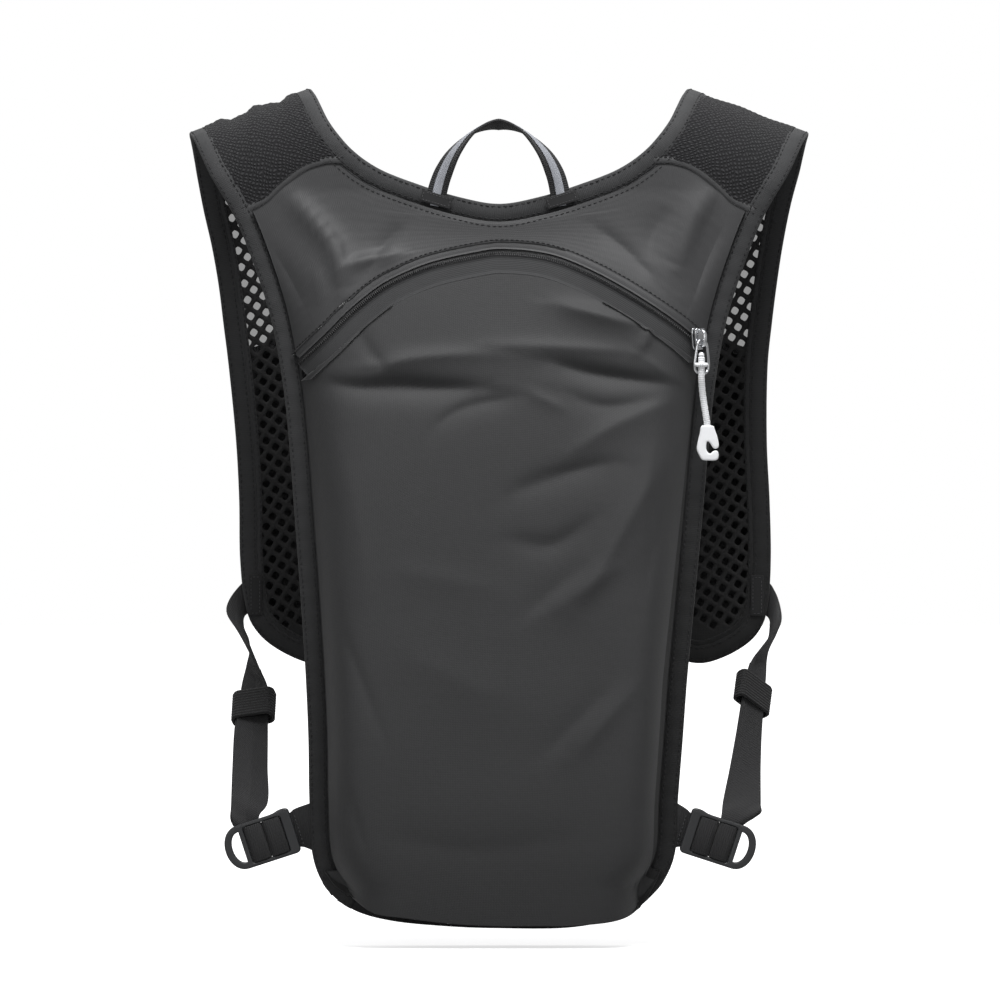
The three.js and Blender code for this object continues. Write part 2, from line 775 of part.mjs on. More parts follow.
// Directions out of a grid of points, and the cloth on both sides of it
function shell(grid, wall, outward, keepOff) {
  const rows = grid.length;
  const columns = grid[0].length;
  const near = (value, most) => Math.min(most - 1, Math.max(0, value));
  const lifted = (lift) =>
    grid.map((row, i) =>
      row.map((p, j) => {
        const alongRow = row[near(j + 1, columns)].clone().sub(row[near(j - 1, columns)]);
        const below = grid[near(i + 1, rows)][j].clone();
        const alongColumn = below.sub(grid[near(i - 1, rows)][j]);
        const out = alongRow.cross(alongColumn).normalize();
        if (out.dot(outward(i, j)) < 0) out.negate();
        return keepOff(p.clone().addScaledVector(out, lift));
      }),
    );
  return slab(lifted(wall / 2), lifted(-wall / 2));
}

// Chest pockets: open at the top, standing off the front straps
const POCKET_FORM = [
  { down: 0, depth: 0.8 },
  { down: 0.3, depth: 1 },
  { down: 0.7, depth: 0.85 },
  { down: 0.9, depth: 0.5 },
  { down: 1, depth: 0 },
];
const POCKET_COLUMNS = [0, 0.03, 0.09, 0.2, 0.5, 0.8, 0.91, 0.97, 1];
const POCKET_ROWS = [0, 0.2, 0.4, 0.6, 0.75, 0.86, 0.94, 0.985];
const POCKET_SQUARE = 8;

for (const side of SIDES) {
  const top = frontPlace(side.sign * 0.7, POCKET_TOP);
  const flat = strapGrid(side, settle(top).run, side.tipRun, POCKET_COLUMNS, POCKET_ROWS);
  const off = HALF_DEPTH + NET_THICKNESS / 2 + GAP;
  const grid = flat.map((row, i) =>
    row.map((p, j) => {
      const side01 = Math.abs(2 * POCKET_COLUMNS[j] - 1);
      const stand = valueAt(POCKET_FORM, "down", "depth", POCKET_ROWS[i]) * POCKET_DEPTH;
      const y = off + CLOTH / 2 + stand * (1 - side01 ** POCKET_SQUARE);
      return new THREE.Vector3(p.x, y, p.z);
    }),
  );
  const front = new THREE.Vector3(0, 1, 0);
  const keepOff = (p) => p.setY(Math.max(p.y, off));
  addMesh("chest_pocket_" + side.name, shell(grid, CLOTH, () => front, keepOff), FABRIC);
}

// Padded panel on the wearer's back
const topOfCloth = (x) => {
  const seam = seamHeight(x) - SEAM_WIDTH / 2 - CLOTH_GAP;
  const neck = clothStretch(neckCrests[0], neckCrests[1]);
  if (Math.abs(x) > Math.abs(neck[0].x)) return seam;
  const height = crossing(neck, "x", x).z;
  return Math.min(seam, height);
};

// Place on the arm's side of the cloth just under the seam
function armCorner(side) {
  const line = side.arm.points;
  let best = line[0];
  let least = Infinity;
  for (const p of line) {
    const away = Math.abs(p.z - (seamHeight(p.x) - SEAM_WIDTH / 2 - CLOTH_GAP));
    if (away < least) {
      least = away;
      best = p;
    }
  }
  return best;
}

const flatBack = (x, z) => new THREE.Vector3(x, -HALF_DEPTH, z);
const cornerLeft = armCorner(LEFT);
const cornerRight = armCorner(RIGHT);
const TOP_POINTS = 48;
const clothTop = shares(TOP_POINTS).map((t) => {
  const x = cornerLeft.x + (cornerRight.x - cornerLeft.x) * t;
  return flatBack(x, topOfCloth(x));
});

// Arm side of the cloth between two heights, downwards
function armSide(side, from, to) {
  const inside = side.arm.points.filter((p) => p.z < from.z - GAP && p.z > to.z + GAP);
  inside.sort((a, b) => b.z - a.z);
  return [from, ...inside.map((p) => flatBack(p.x, p.z)), to];
}

const hemCloth = clothEdge
  .filter((_, i) => edgeLengths[i] >= hemJoints[1])
  .map((p) => flatBack(p.x, p.z))
  .reverse();

// Shares of the width at which the cloths and the zip have their points
const COLUMNS = [
  0, 0.012, 0.03, 0.06, 0.1, 0.17, 0.25, 0.33, 0.42, 0.5, 0.58, 0.67, 0.75, 0.83, 0.9, 0.94, 0.97,
  0.988, 1,
];
const panelPlan = patch(
  along(clothTop),
  along(hemCloth),
  along(armSide(LEFT, clothTop[0], hemCloth[0])),
  along(armSide(RIGHT, clothTop[TOP_POINTS], hemCloth[hemCloth.length - 1])),
  COLUMNS,
  [0, 0.04, 0.1, 0.17, 0.25, 0.35, 0.5, 0.7, 0.88, 0.96, 1],
);
const PANEL_SHARE = 0.995;
const panelFace = (lift) =>
  panelPlan.map((row) => row.map((p) => new THREE.Vector3(p.x * PANEL_SHARE, p.y - lift, p.z)));
addMesh(
  "back_panel",
  slab(panelFace(PANEL_THICKNESS / 2), panelFace(-PANEL_THICKNESS / 2)),
  PADDING,
);

// The pack's outer face, standing off the panel
const PACK_BASE = -HALF_DEPTH - PANEL_THICKNESS / 2 - GAP;
const armX = (side, z) => xAt(side.arm.places, "z", z);

function foldHeight(x, z) {
  let height = 0;
  for (const fold of FOLDS) {
    const from = new THREE.Vector2(fold.across * HALF_WIDTH, -fold.down * LENGTH);
    const to = new THREE.Vector2(fold.toAcross * HALF_WIDTH, -fold.toDown * LENGTH);
    const line = to.clone().sub(from);
    const point = new THREE.Vector2(x, z).sub(from);
    const share = Math.min(1, Math.max(0, point.dot(line) / line.lengthSq()));
    const away = point.distanceTo(line.multiplyScalar(share)) / (fold.width * HALF_WIDTH);
    height += fold.height * Math.exp(-away * away);
  }
  return height;
}

function packHeight(x, z) {
  const left = armX(LEFT, z);
  const right = armX(RIGHT, z);
  const down = Math.max(PACK_PROFILE[0].down, -z / LENGTH);
  const depth = valueAt(PACK_PROFILE, "down", "depth", down);
  const square = valueAt(PACK_PROFILE, "down", "square", down);
  const side = Math.abs((2 * x - left - right) / (right - left));
  const flatness = 1 - side ** square;
  const fold = foldHeight(x, z) * Math.max(0, Math.min(1, 1 - side ** 4));
  return PACK_DEPTH * Math.max(0, depth * flatness + fold);
}

function packPoint(x, z) {
  return new THREE.Vector3(x, PACK_BASE - CLOTH / 2 - packHeight(x, z), z);
}

const SLOPE_STEP = 0.5;

// Point off the pack's face by a lift along the way out of it
function offPack(p, lift) {
  const slopeX = (packHeight(p.x + SLOPE_STEP, p.z) - packHeight(p.x - SLOPE_STEP, p.z)) / 2;
  const slopeZ = (packHeight(p.x, p.z + SLOPE_STEP) - packHeight(p.x, p.z - SLOPE_STEP)) / 2;
  const out = new THREE.Vector3(-slopeX / SLOPE_STEP, -1, -slopeZ / SLOPE_STEP).normalize();
  const y = PACK_BASE - packHeight(p.x, p.z);
  const point = new THREE.Vector3(p.x, y, p.z).addScaledVector(out, lift);
  return point.setY(Math.min(point.y, PACK_BASE));
}

// Zip: two tapes and a chain along one arch, each a strip between two distances from it
const zipLine = sheetLine(
  ZIP_ARCH.map((row) => backPlace(row.across, row.down)),
  LINE_STEP,
);
const zipPlaces = COLUMNS.map(along(zipLine));
const zipAt = (distance) => shifted(zipPlaces, distance).map((p) => flatBack(p.x, p.z));
const atColumn = (line) => (share) => line[COLUMNS.indexOf(share)];

function packStrip(from, to, low, high) {
  const upper = zipAt(from);
  const lower = zipAt(to);
  return loft(
    upper.map((p, i) => [
      offPack(p, high),
      offPack(lower[i], high),
      offPack(lower[i], low),
      offPack(p, low),
    ]),
  );
}

const chainSide = CHAIN_WIDTH / 2;
const upperTape = chainSide + ZIP_GAP + UPPER_TAPE_WIDTH;
const lowerTape = chainSide + ZIP_GAP + LOWER_TAPE_WIDTH;
addMesh("zip_chain", packStrip(-chainSide, chainSide, 0, CHAIN_THICKNESS), PLASTIC);
addMesh("zip_tape_upper", packStrip(-upperTape, -chainSide - ZIP_GAP, 0, TAPE_THICKNESS), TAPE);
addMesh("zip_tape_lower", packStrip(chainSide + ZIP_GAP, lowerTape, 0, TAPE_THICKNESS), TAPE);

// Yoke from the seams and the neckline down to the zip
const yokeBottom = zipAt(-upperTape - GAP);
const yokePlan = patch(
  along(clothTop),
  atColumn(yokeBottom),
  along(armSide(LEFT, clothTop[0], yokeBottom[0])),
  along(armSide(RIGHT, clothTop[TOP_POINTS], yokeBottom[yokeBottom.length - 1])),
  COLUMNS,
  shares(8),
);
const packFace = (plan, lift) => plan.map((row) => row.map((p) => offPack(p, lift)));
addMesh("yoke", slab(packFace(yokePlan, CLOTH), packFace(yokePlan, 0)), FABRIC);

// Pouch: front, sides and bottom in one cloth, open to the panel and to the zip
const POUCH_ROWS = [
  0, 0.03, 0.06, 0.09, 0.12, 0.16, 0.2, 0.25, 0.3, 0.36, 0.42, 0.48, 0.54, 0.6, 0.66, 0.72, 0.78,
  0.84, 0.9, 0.95, 0.98, 1,
];
const BOTTOM_RISE = 7;
const pouchTop = zipAt(lowerTape + 2 * CLOTH_GAP);
const pouchBottom = sheetLine(
  POUCH_BOTTOM.map((row) => backPlace(row.across, row.down)),
  LINE_STEP,
).map((p) => flatBack(p.x, p.z));
const pouchPlan = patch(
  atColumn(pouchTop),
  along(pouchBottom),
  along(armSide(LEFT, pouchTop[0], pouchBottom[0])),
  along(armSide(RIGHT, pouchTop[pouchTop.length - 1], pouchBottom[pouchBottom.length - 1])),
  COLUMNS,
  POUCH_ROWS,
);
const pouchFront = pouchPlan.map((row) => row.map((p) => packPoint(p.x, p.z)));
const pouchFoot = pouchFront[pouchFront.length - 1];

// The bottom runs from the front's foot back to the panel, a little upwards
const bottomRow = (share) =>
  pouchFoot.map((p, j) => {
    const rise = BOTTOM_RISE * (1 - Math.abs(2 * COLUMNS[j] - 1) ** 4);
    const y = p.y + (PACK_BASE - CLOTH / 2 - p.y) * share;
    return new THREE.Vector3(p.x, y, p.z + rise * share);
  });
const pouchGrid = [...pouchFront, bottomRow(0.25), bottomRow(0.65), bottomRow(1)];
const frontRows = pouchFront.length;
const outOfPack = new THREE.Vector3(0, -1, 0);
const outOfBottom = new THREE.Vector3(0, -0.3, -1);
const pouchOut = (i) => (i < frontRows ? outOfPack : outOfBottom);
const offPanel = (p) => p.setY(Math.min(p.y, PACK_BASE));
addMesh("pouch", shell(pouchGrid, CLOTH, pouchOut, offPanel), FABRIC);

// Bodies that are turned into place: each keeps a frame of three directions and an origin
function placed(geometry, frame) {
  const basis = new THREE.Matrix4().makeBasis(frame.u, frame.v, frame.w);
  return geometry.applyMatrix4(basis.setPosition(frame.origin));
}

function block(frame, low, high) {
  const size = high.map((value, i) => value - low[i]);
  const box = new THREE.BoxGeometry(...size);
  box.translate(...high.map((value, i) => (value + low[i]) / 2));
  return toSolid(placed(box, frame));
}

// Round wire or cord through points; a closed one has no ends
function tube(points, radius, sides, closed) {
  const count = points.length;
  const rings = points.map((p, i) => {
    const before = closed ? points[(i + count - 1) % count] : points[Math.max(0, i - 1)];
    const after = closed ? points[(i + 1) % count] : points[Math.min(count - 1, i + 1)];
    const alongWire = after.clone().sub(before).normalize();
    const first = new THREE.Vector3(0, 1, 0);
    first.addScaledVector(alongWire, -first.dot(alongWire)).normalize();
    const second = alongWire.clone().cross(first);
    return shares(sides)
      .slice(0, sides)
      .map((t) => {
        const angle = t * 2 * Math.PI;
        const point = p.clone().addScaledVector(first, radius * Math.cos(angle));
        return point.addScaledVector(second, radius * Math.sin(angle));
      });
  });
  if (!closed) return loft(rings);
  const faces = [];
  for (let row = 0; row < count; row += 1) {
    for (let i = 0; i < sides; i += 1) {
      const a = row * sides + i;
      const b = row * sides + ((i + 1) % sides);
      const c = ((row + 1) % count) * sides + ((i + 1) % sides);
      const d = ((row + 1) % count) * sides + i;
      faces.push(a, b, c, a, c, d);
    }
  }
  const geometry = new THREE.BufferGeometry();
  const positions = rings.flat().flatMap((p) => [p.x, p.y, p.z]);
  geometry.setAttribute("position", new THREE.Float32BufferAttribute(positions, 3));
  geometry.setIndex(faces);
  return facingOut(geometry);
}

// Flat band between two edge lines
function band(from, to, thickness, ridged = false) {
  const half = thickness / 2;
  return loft(
    from.map((p, i) => {
      const before = Math.max(0, i - 1);
      const after = Math.min(from.length - 1, i + 1);
      const alongBand = from[after].clone().add(to[after]).sub(from[before]).sub(to[before]);
      const out = alongBand.cross(to[i].clone().sub(p)).normalize();
      const at = (point, height) => point.clone().addScaledVector(out, height);
      const middle = p.clone().lerp(to[i], 0.5);
      if (!ridged) return [at(p, half), at(to[i], half), at(to[i], -half), at(p, -half)];
      return [
        at(p, half),
        at(middle, half),
        at(to[i], half),
        at(to[i], -half),
        at(middle, -half),
        at(p, -half),
      ];
    }),
  );
}

// Zip slider with its bail, and the wire ring, cord and moulded pull that hang from it
const SLIDER_SHARE = 0.972;
const BAIL_RADIUS = 2.9;
const BAIL_WIRE = 0.7;
const sliderAt = along(zipLine)(SLIDER_SHARE);
const sliderBase = offPack(sliderAt, CHAIN_THICKNESS + GAP);
const sliderOut = sliderBase.clone().sub(offPack(sliderAt, 0)).normalize();
const sliderDown = new THREE.Vector3(0, 0, -1);
sliderDown.addScaledVector(sliderOut, -sliderDown.dot(sliderOut)).normalize();
const sliderFrame = {
  u: sliderOut.clone().cross(sliderDown).negate(),
  v: sliderDown.clone().negate(),
  w: sliderOut,
  origin: sliderBase.clone().addScaledVector(sliderOut, GAP * 2),
};
const bail = new THREE.TorusGeometry(BAIL_RADIUS, BAIL_WIRE, 6, 12);
bail.rotateY(Math.PI / 2);
bail.translate(0, 0, SLIDER_HEIGHT);
const slider = block(
  sliderFrame,
  [-SLIDER_WIDTH / 2, -SLIDER_LENGTH / 2, 0],
  [SLIDER_WIDTH / 2, SLIDER_LENGTH / 2, SLIDER_HEIGHT],
).add(toSolid(placed(bail, sliderFrame)));
addMesh("zip_slider", toGeometry(slider), STEEL);

const local = (frame, u, v, w) =>
  frame.origin
    .clone()
    .addScaledVector(frame.u, u)
    .addScaledVector(frame.v, v)
    .addScaledVector(frame.w, w);
const ringPoint = (x, down) =>
  local(sliderFrame, x, -RING_WIRE / 2 - down, SLIDER_HEIGHT + RING_WIRE / 2 + GAP);
const ringSide = RING_WIDTH / 2 - RING_WIRE / 2;
const ringCorner = 2.5;
const ringLength = RING_LENGTH - RING_WIRE;
const cornerArc = (x, down, from) =>
  shares(3).map((t) => {
    const angle = from + (t * Math.PI) / 2;
    return ringPoint(x + ringCorner * Math.cos(angle), down + ringCorner * Math.sin(angle));
  });
const ringLoop = [
  ...cornerArc(ringSide - ringCorner, ringLength - ringCorner, 0),
  ...cornerArc(ringCorner - ringSide, ringLength - ringCorner, Math.PI / 2),
  ...cornerArc(ringCorner - ringSide, ringCorner, Math.PI),
  ...cornerArc(ringSide - ringCorner, ringCorner, Math.PI * 1.5),
];
addMesh("pull_ring", tube(ringLoop, RING_WIRE / 2, 6, true), STEEL);

// The cord is looped on the ring's lower side; its points are chosen by hand
const CORD_EYE = 2.6;
const CORD_DRIFT = 3;
const cordRadius = CORD_DIAMETER / 2;
const eyeCentre = ringPoint(0, ringLength + CORD_EYE - cordRadius - RING_WIRE / 2 - GAP);
const eye = new THREE.TorusGeometry(CORD_EYE + 0.6, cordRadius * 0.8, 8, 12);
eye.rotateY(Math.PI / 2);
eye.translate(eyeCentre.x, eyeCentre.y, eyeCentre.z);
const cordTop = eyeCentre.clone().add(new THREE.Vector3(0, 0, -CORD_EYE - 0.4));
const cordPoints = [
  { side: 0, down: 0 },
  { side: 0.1, down: 0.2 },
  { side: 0.3, down: 0.4 },
  { side: 0.55, down: 0.6 },
  { side: 0.8, down: 0.8 },
  { side: 1, down: 1 },
].map((p) => {
  const offset = new THREE.Vector3(p.side * CORD_DRIFT, 0, -p.down * CORD_LENGTH);
  return cordTop.clone().add(offset);
});
const cord = toSolid(tube(cordPoints, cordRadius, 8, false)).add(toSolid(eye));
addMesh("pull_cord", toGeometry(cord), LIGHT);

const PULL_HOLE = 2.9;
const PULL_SLIT = 1.4;
const pullTop = cordPoints[cordPoints.length - 1].clone().add(new THREE.Vector3(0, 0, -GAP));
const pullShape = new THREE.Shape();
pullShape.moveTo(-PULL_WIDTH * 0.22, 0);
pullShape.lineTo(PULL_WIDTH * 0.22, 0);
pullShape.bezierCurveTo(
  PULL_WIDTH * 0.25, -PULL_LENGTH * 0.25,
  PULL_WIDTH * 0.5, -PULL_LENGTH * 0.35,
  PULL_WIDTH * 0.5, -PULL_LENGTH * 0.65,
);
pullShape.bezierCurveTo(
  PULL_WIDTH * 0.5, -PULL_LENGTH * 1.1,
  -PULL_WIDTH * 0.5, -PULL_LENGTH * 1.1,
  -PULL_WIDTH * 0.5, -PULL_LENGTH * 0.65,
);
pullShape.bezierCurveTo(
  -PULL_WIDTH * 0.5, -PULL_LENGTH * 0.35,
  -PULL_WIDTH * 0.25, -PULL_LENGTH * 0.25,
  -PULL_WIDTH * 0.22, 0,
);
const pullFrame = {
  u: new THREE.Vector3(1, 0, 0),
  v: new THREE.Vector3(0, 0, 1),
  w: new THREE.Vector3(0, -1, 0),
  origin: pullTop,
};
const flatBody = (shape, thickness, segments, frame) => {
  const body = new THREE.ExtrudeGeometry(shape, {
    depth: thickness,
    bevelEnabled: false,
    curveSegments: segments,
  });
  body.translate(0, 0, -thickness / 2);
  return toSolid(placed(body, frame));
};
const pullHole = new THREE.CylinderGeometry(PULL_HOLE, PULL_HOLE, PULL_THICKNESS * 2, 12);
pullHole.rotateX(Math.PI / 2);
pullHole.translate(PULL_WIDTH * 0.08, -PULL_LENGTH * 0.64, 0);
const pull = flatBody(pullShape, PULL_THICKNESS, 5, pullFrame)
  .subtract(toSolid(placed(pullHole, pullFrame)))
  .subtract(
    block(
      pullFrame,
      [PULL_WIDTH * 0.2, -PULL_LENGTH * 0.72 - PULL_SLIT / 2, -PULL_THICKNESS],
      [PULL_WIDTH, -PULL_LENGTH * 0.72 + PULL_SLIT / 2, PULL_THICKNESS],
    ),
  );
addMesh("pull_tab", toGeometry(pull), LIGHT);

// Haul loop: sewn flat on the neckline, turned on edge over its crown
const LOOP_PATH = [
  { across: -0.207, down: 0.118, turn: 0 },
  { across: -0.197, down: 0.1, turn: 4 },
  { across: -0.178, down: 0.078, turn: 22 },
  { across: -0.14, down: 0.052, turn: 55 },
  { across: -0.076, down: 0.028, turn: 90 },
  { across: -0.003, down: 0.019, turn: 118 },
  { across: 0.07, down: 0.027, turn: 90 },
  { across: 0.14, down: 0.052, turn: 55 },
  { across: 0.178, down: 0.078, turn: 22 },
  { across: 0.194, down: 0.1, turn: 4 },
  { across: 0.201, down: 0.118, turn: 0 },
];
const LOOP_LEAN = 5;
const loopBase = -HALF_DEPTH - BINDING_THICKNESS / 2 - GAP - WEBBING_THICKNESS / 2;
const loopCentre = LOOP_PATH.map((row) => {
  const lean = LOOP_LEAN * Math.sin((Math.min(90, row.turn) * Math.PI) / 180);
  return new THREE.Vector3(row.across * HALF_WIDTH, loopBase - lean, -row.down * LENGTH);
});
const loopCurve = new THREE.CatmullRomCurve3(loopCentre, false, "centripetal");
const LOOP_STEPS = 20;

function loopSides(width, lift) {
  const from = [];
  const to = [];
  for (const t of shares(LOOP_STEPS)) {
    const place = t * (LOOP_PATH.length - 1);
    const row = Math.min(LOOP_PATH.length - 2, Math.floor(place));
    const mix = place - row;
    const degrees = LOOP_PATH[row].turn * (1 - mix) + LOOP_PATH[row + 1].turn * mix;
    const turn = (degrees * Math.PI) / 180;
    const centre = loopCurve.getPoint(t);
    const alongLoop = loopCurve.getTangent(t).setY(0).normalize();
    const outwards = new THREE.Vector3(-alongLoop.z, 0, alongLoop.x);
    const face = outwards.multiplyScalar(Math.sin(turn)).setY(-Math.cos(turn));
    const across = alongLoop.clone().cross(face).normalize();
    centre.addScaledVector(face, lift);
    from.push(centre.clone().addScaledVector(across, -width / 2));
    to.push(centre.clone().addScaledVector(across, width / 2));
  }
  return [from, to];
}

addMesh("haul_loop", band(...loopSides(LOOP_WEBBING, 0), WEBBING_THICKNESS, true), WEB);
const stripeLift = WEBBING_THICKNESS / 2 + CLOTH_GAP + STRIPE_THICKNESS / 2;
const stripe = band(...loopSides(STRIPE_WIDTH, stripeLift), STRIPE_THICKNESS);
addMesh("haul_loop_stripe", stripe, REFLECTIVE);

// Ladder locks: a frame with a pull at one end and two bars that the webbing goes round
const LOCKS = { left: { across: -0.758, down: 0.893 }, right: { across: 0.702, down: 0.893 } };
const LOCK_TILT = (18 * Math.PI) / 180;
const sleeveHalf = LOCK_BAR / 2 + WEB_CLEARANCE + WEBBING_THICKNESS;
const nearBar = -LOCK_BAR / 2 + 0.65;
const farBar = nearBar + 2 * sleeveHalf + GAP;
const windowHalf = WEBBING / 2 + WEB_CLEARANCE;
const windowStart = nearBar - sleeveHalf - WEB_CLEARANCE;
const windowEnd = farBar + sleeveHalf + WEB_CLEARANCE;
const lockHalf = windowHalf + LOCK_RAIL;
const lockEnd = windowEnd + LOCK_END_BAR;
const lockY = -HALF_DEPTH - LOCK_THICKNESS / 2 - WEB_CLEARANCE - WEBBING_THICKNESS / 2;
const behind = LOCK_THICKNESS / 2 + WEB_CLEARANCE;

function lockFrame(side) {
  const { across, down } = LOCKS[side.name];
  const origin = new THREE.Vector3(across * HALF_WIDTH, lockY, -down * LENGTH);
  const cos = Math.cos(LOCK_TILT);
  const sin = Math.sin(LOCK_TILT);
  return {
    u: new THREE.Vector3(-side.sign * cos, 0, sin),
    v: new THREE.Vector3(side.sign * sin, 0, cos),
    w: new THREE.Vector3(0, -1, 0),
    origin,
  };
}

function ladderLock(frame) {
  const pullStart = windowStart - LOCK_CROSS_BAR;
  const outline = new THREE.Shape();
  outline.moveTo(lockEnd, -lockHalf + 2);
  outline.lineTo(lockEnd, lockHalf - 2);
  outline.quadraticCurveTo(lockEnd, lockHalf + 1.2, lockEnd - 4, lockHalf + 1.2);
  outline.quadraticCurveTo(lockEnd - 7, lockHalf + 1.2, lockEnd - 10, lockHalf);
  outline.lineTo(pullStart, lockHalf);
  outline.bezierCurveTo(
    -LOCK_LENGTH + lockEnd - 1.5, lockHalf,
    -LOCK_LENGTH + lockEnd - 1.5, -lockHalf,
    pullStart, -lockHalf,
  );
  outline.lineTo(lockEnd - 2, -lockHalf);
  outline.quadraticCurveTo(lockEnd, -lockHalf, lockEnd, -lockHalf + 2);
  const finger = new THREE.Path();
  const reach = LOCK_PULL - LOCK_RAIL * 2;
  finger.moveTo(pullStart, windowHalf - 1.5);
  finger.bezierCurveTo(
    pullStart - reach * 1.25, windowHalf - 1.5,
    pullStart - reach * 1.25, 1.5 - windowHalf,
    pullStart, 1.5 - windowHalf,
  );
  outline.holes.push(finger);
  const long = LOCK_THICKNESS * 2;
  const window = block(frame, [windowStart, -windowHalf, -long], [windowEnd, windowHalf, long]);
  const bar = (centre) =>
    block(
      frame,
      [centre - LOCK_BAR / 2, -windowHalf - LOCK_RAIL / 2, -LOCK_BAR_THICKNESS / 2],
      [centre + LOCK_BAR / 2, windowHalf + LOCK_RAIL / 2, LOCK_BAR_THICKNESS / 2],
    );
  return flatBody(outline, LOCK_THICKNESS, 7, frame)
    .subtract(window)
    .add(bar(nearBar))
    .add(bar(farBar));
}

// Webbing sewn round a bar
function sleeve(frame, centre) {
  const inside = LOCK_BAR / 2 + WEB_CLEARANCE;
  const high = LOCK_BAR_THICKNESS / 2 + WEB_CLEARANCE;
  const low = behind + WEBBING_THICKNESS;
  const side = WEBBING / 2;
  const wall = WEBBING_THICKNESS;
  return block(
    frame,
    [centre - inside - wall, -side, -low],
    [centre + inside + wall, side, high + wall],
  ).subtract(
    block(frame, [centre - inside, -side - 1, wall - low], [centre + inside, side + 1, high]),
  );
}

const TAB_ROOT = 25;
const TAB_REACH = 5;

for (const side of SIDES) {
  const frame = lockFrame(side);
  addMesh("ladder_lock_" + side.name, toGeometry(ladderLock(frame)), PLASTIC);

  // A tab runs behind the end bar and widens to the arm binding of the pack
  const rows = [
    { u: farBar, half: WEBBING / 2 },
    { u: lockEnd, half: WEBBING / 2 },
    { u: lockEnd + 2, half: WEBBING / 2 + 1 },
  ];
  const level = -behind - WEBBING_THICKNESS / 2;
  const upper = rows.map((row) => local(frame, row.u, row.half, level));
  const lower = rows.map((row) => local(frame, row.u, -row.half, level));
  const end = (v) => {
    const point = local(frame, lockEnd + TAB_REACH, v, level);
    const edgeShare = valueAt(ARM_EDGE, "down", side.name, -point.z / LENGTH);
    return point.setX(side.sign * (edgeShare * HALF_WIDTH + CLOTH_GAP + GAP));
  };
  upper.push(end(TAB_ROOT / 2));
  lower.push(end(-TAB_ROOT / 2));
  const tab = toSolid(band(upper, lower, WEBBING_THICKNESS)).add(sleeve(frame, farBar));
  addMesh("buckle_tab_" + side.name, toGeometry(tab), WEB);
}

// Side straps: sewn behind the edge of the front strap, twisted, doubled below the keeper
const STRAP_PATH = {
  left: [
    { outer: 0.806, outerDown: 0.574, inner: 0.799, innerDown: 0.617, depth: 1.07 },
    { outer: 0.844, outerDown: 0.582, inner: 0.828, innerDown: 0.62, depth: 1.07 },
    { outer: 0.892, outerDown: 0.614, inner: 0.834, innerDown: 0.635, depth: 1.05 },
    { outer: 0.854, outerDown: 0.639, inner: 0.818, innerDown: 0.65, depth: 0.92 },
    { outer: 0.815, outerDown: 0.662, inner: 0.809, innerDown: 0.665, depth: 0.8 },
    { outer: 0.822, outerDown: 0.681, inner: 0.783, innerDown: 0.686, depth: 0.675 },
    { outer: 0.838, outerDown: 0.708, inner: 0.752, innerDown: 0.71, depth: 0.5 },
    { outer: 0.85, outerDown: 0.754, inner: 0.748, innerDown: 0.757, depth: 0.1 },
    { outer: 0.854, outerDown: 0.805, inner: 0.745, innerDown: 0.805, depth: -0.35 },
    { outer: 0.854, outerDown: 0.849, inner: 0.742, innerDown: 0.849, depth: -0.8 },
    { outer: 0.854, outerDown: 0.866, inner: 0.768, innerDown: 0.8645, depth: -1 },
    { outer: 0.847, outerDown: 0.876, inner: 0.752, innerDown: 0.903, depth: -1 },
  ],
  right: [
    { outer: 0.85, outerDown: 0.574, inner: 0.85, innerDown: 0.618, depth: 1.07 },
    { outer: 0.889, outerDown: 0.582, inner: 0.879, innerDown: 0.623, depth: 1.07 },
    { outer: 0.924, outerDown: 0.623, inner: 0.885, innerDown: 0.64, depth: 1.05 },
    { outer: 0.908, outerDown: 0.642, inner: 0.876, innerDown: 0.653, depth: 0.92 },
    { outer: 0.882, outerDown: 0.662, inner: 0.85, innerDown: 0.664, depth: 0.8 },
    { outer: 0.873, outerDown: 0.676, inner: 0.822, innerDown: 0.678, depth: 0.675 },
    { outer: 0.869, outerDown: 0.695, inner: 0.803, innerDown: 0.697, depth: 0.5 },
    { outer: 0.857, outerDown: 0.735, inner: 0.78, innerDown: 0.738, depth: 0.15 },
    { outer: 0.844, outerDown: 0.793, inner: 0.748, innerDown: 0.796, depth: -0.3 },
    { outer: 0.834, outerDown: 0.847, inner: 0.717, innerDown: 0.847, depth: -0.8 },
    { outer: 0.831, outerDown: 0.858, inner: 0.71, innerDown: 0.864, depth: -1 },
    { outer: 0.78, outerDown: 0.873, inner: 0.685, innerDown: 0.903, depth: -1 },
  ],
};
const KEEPER_ROW = 6;
const TAIL_SHIFT = 2;
const FLAT_SHARE = 0.85;

// Both edges of the webbing: what the tables show narrower than it is, is turned in depth
function strapSides(side) {
  const rows = STRAP_PATH[side.name];
  const level = lockY + behind + WEBBING_THICKNESS / 2 - (-HALF_DEPTH);
  const outer = [];
  const inner = [];
  rows.forEach((row) => {
    const a = new THREE.Vector3(side.sign * row.outer * HALF_WIDTH, 0, -row.outerDown * LENGTH);
    const b = new THREE.Vector3(side.sign * row.inner * HALF_WIDTH, 0, -row.innerDown * LENGTH);
    const seen = a.distanceTo(b);
    const flat = row.depth < -0.9 || seen > FLAT_SHARE * WEBBING;
    const turn = flat ? 0 : Math.sqrt(WEBBING ** 2 - seen ** 2) / 2;
    const y = row.depth * HALF_DEPTH + (row.depth > -0.9 ? 0 : level);
    outer.push(a.setY(y + turn));
    inner.push(b.setY(y - turn));
  });
  return { outer, inner };
}

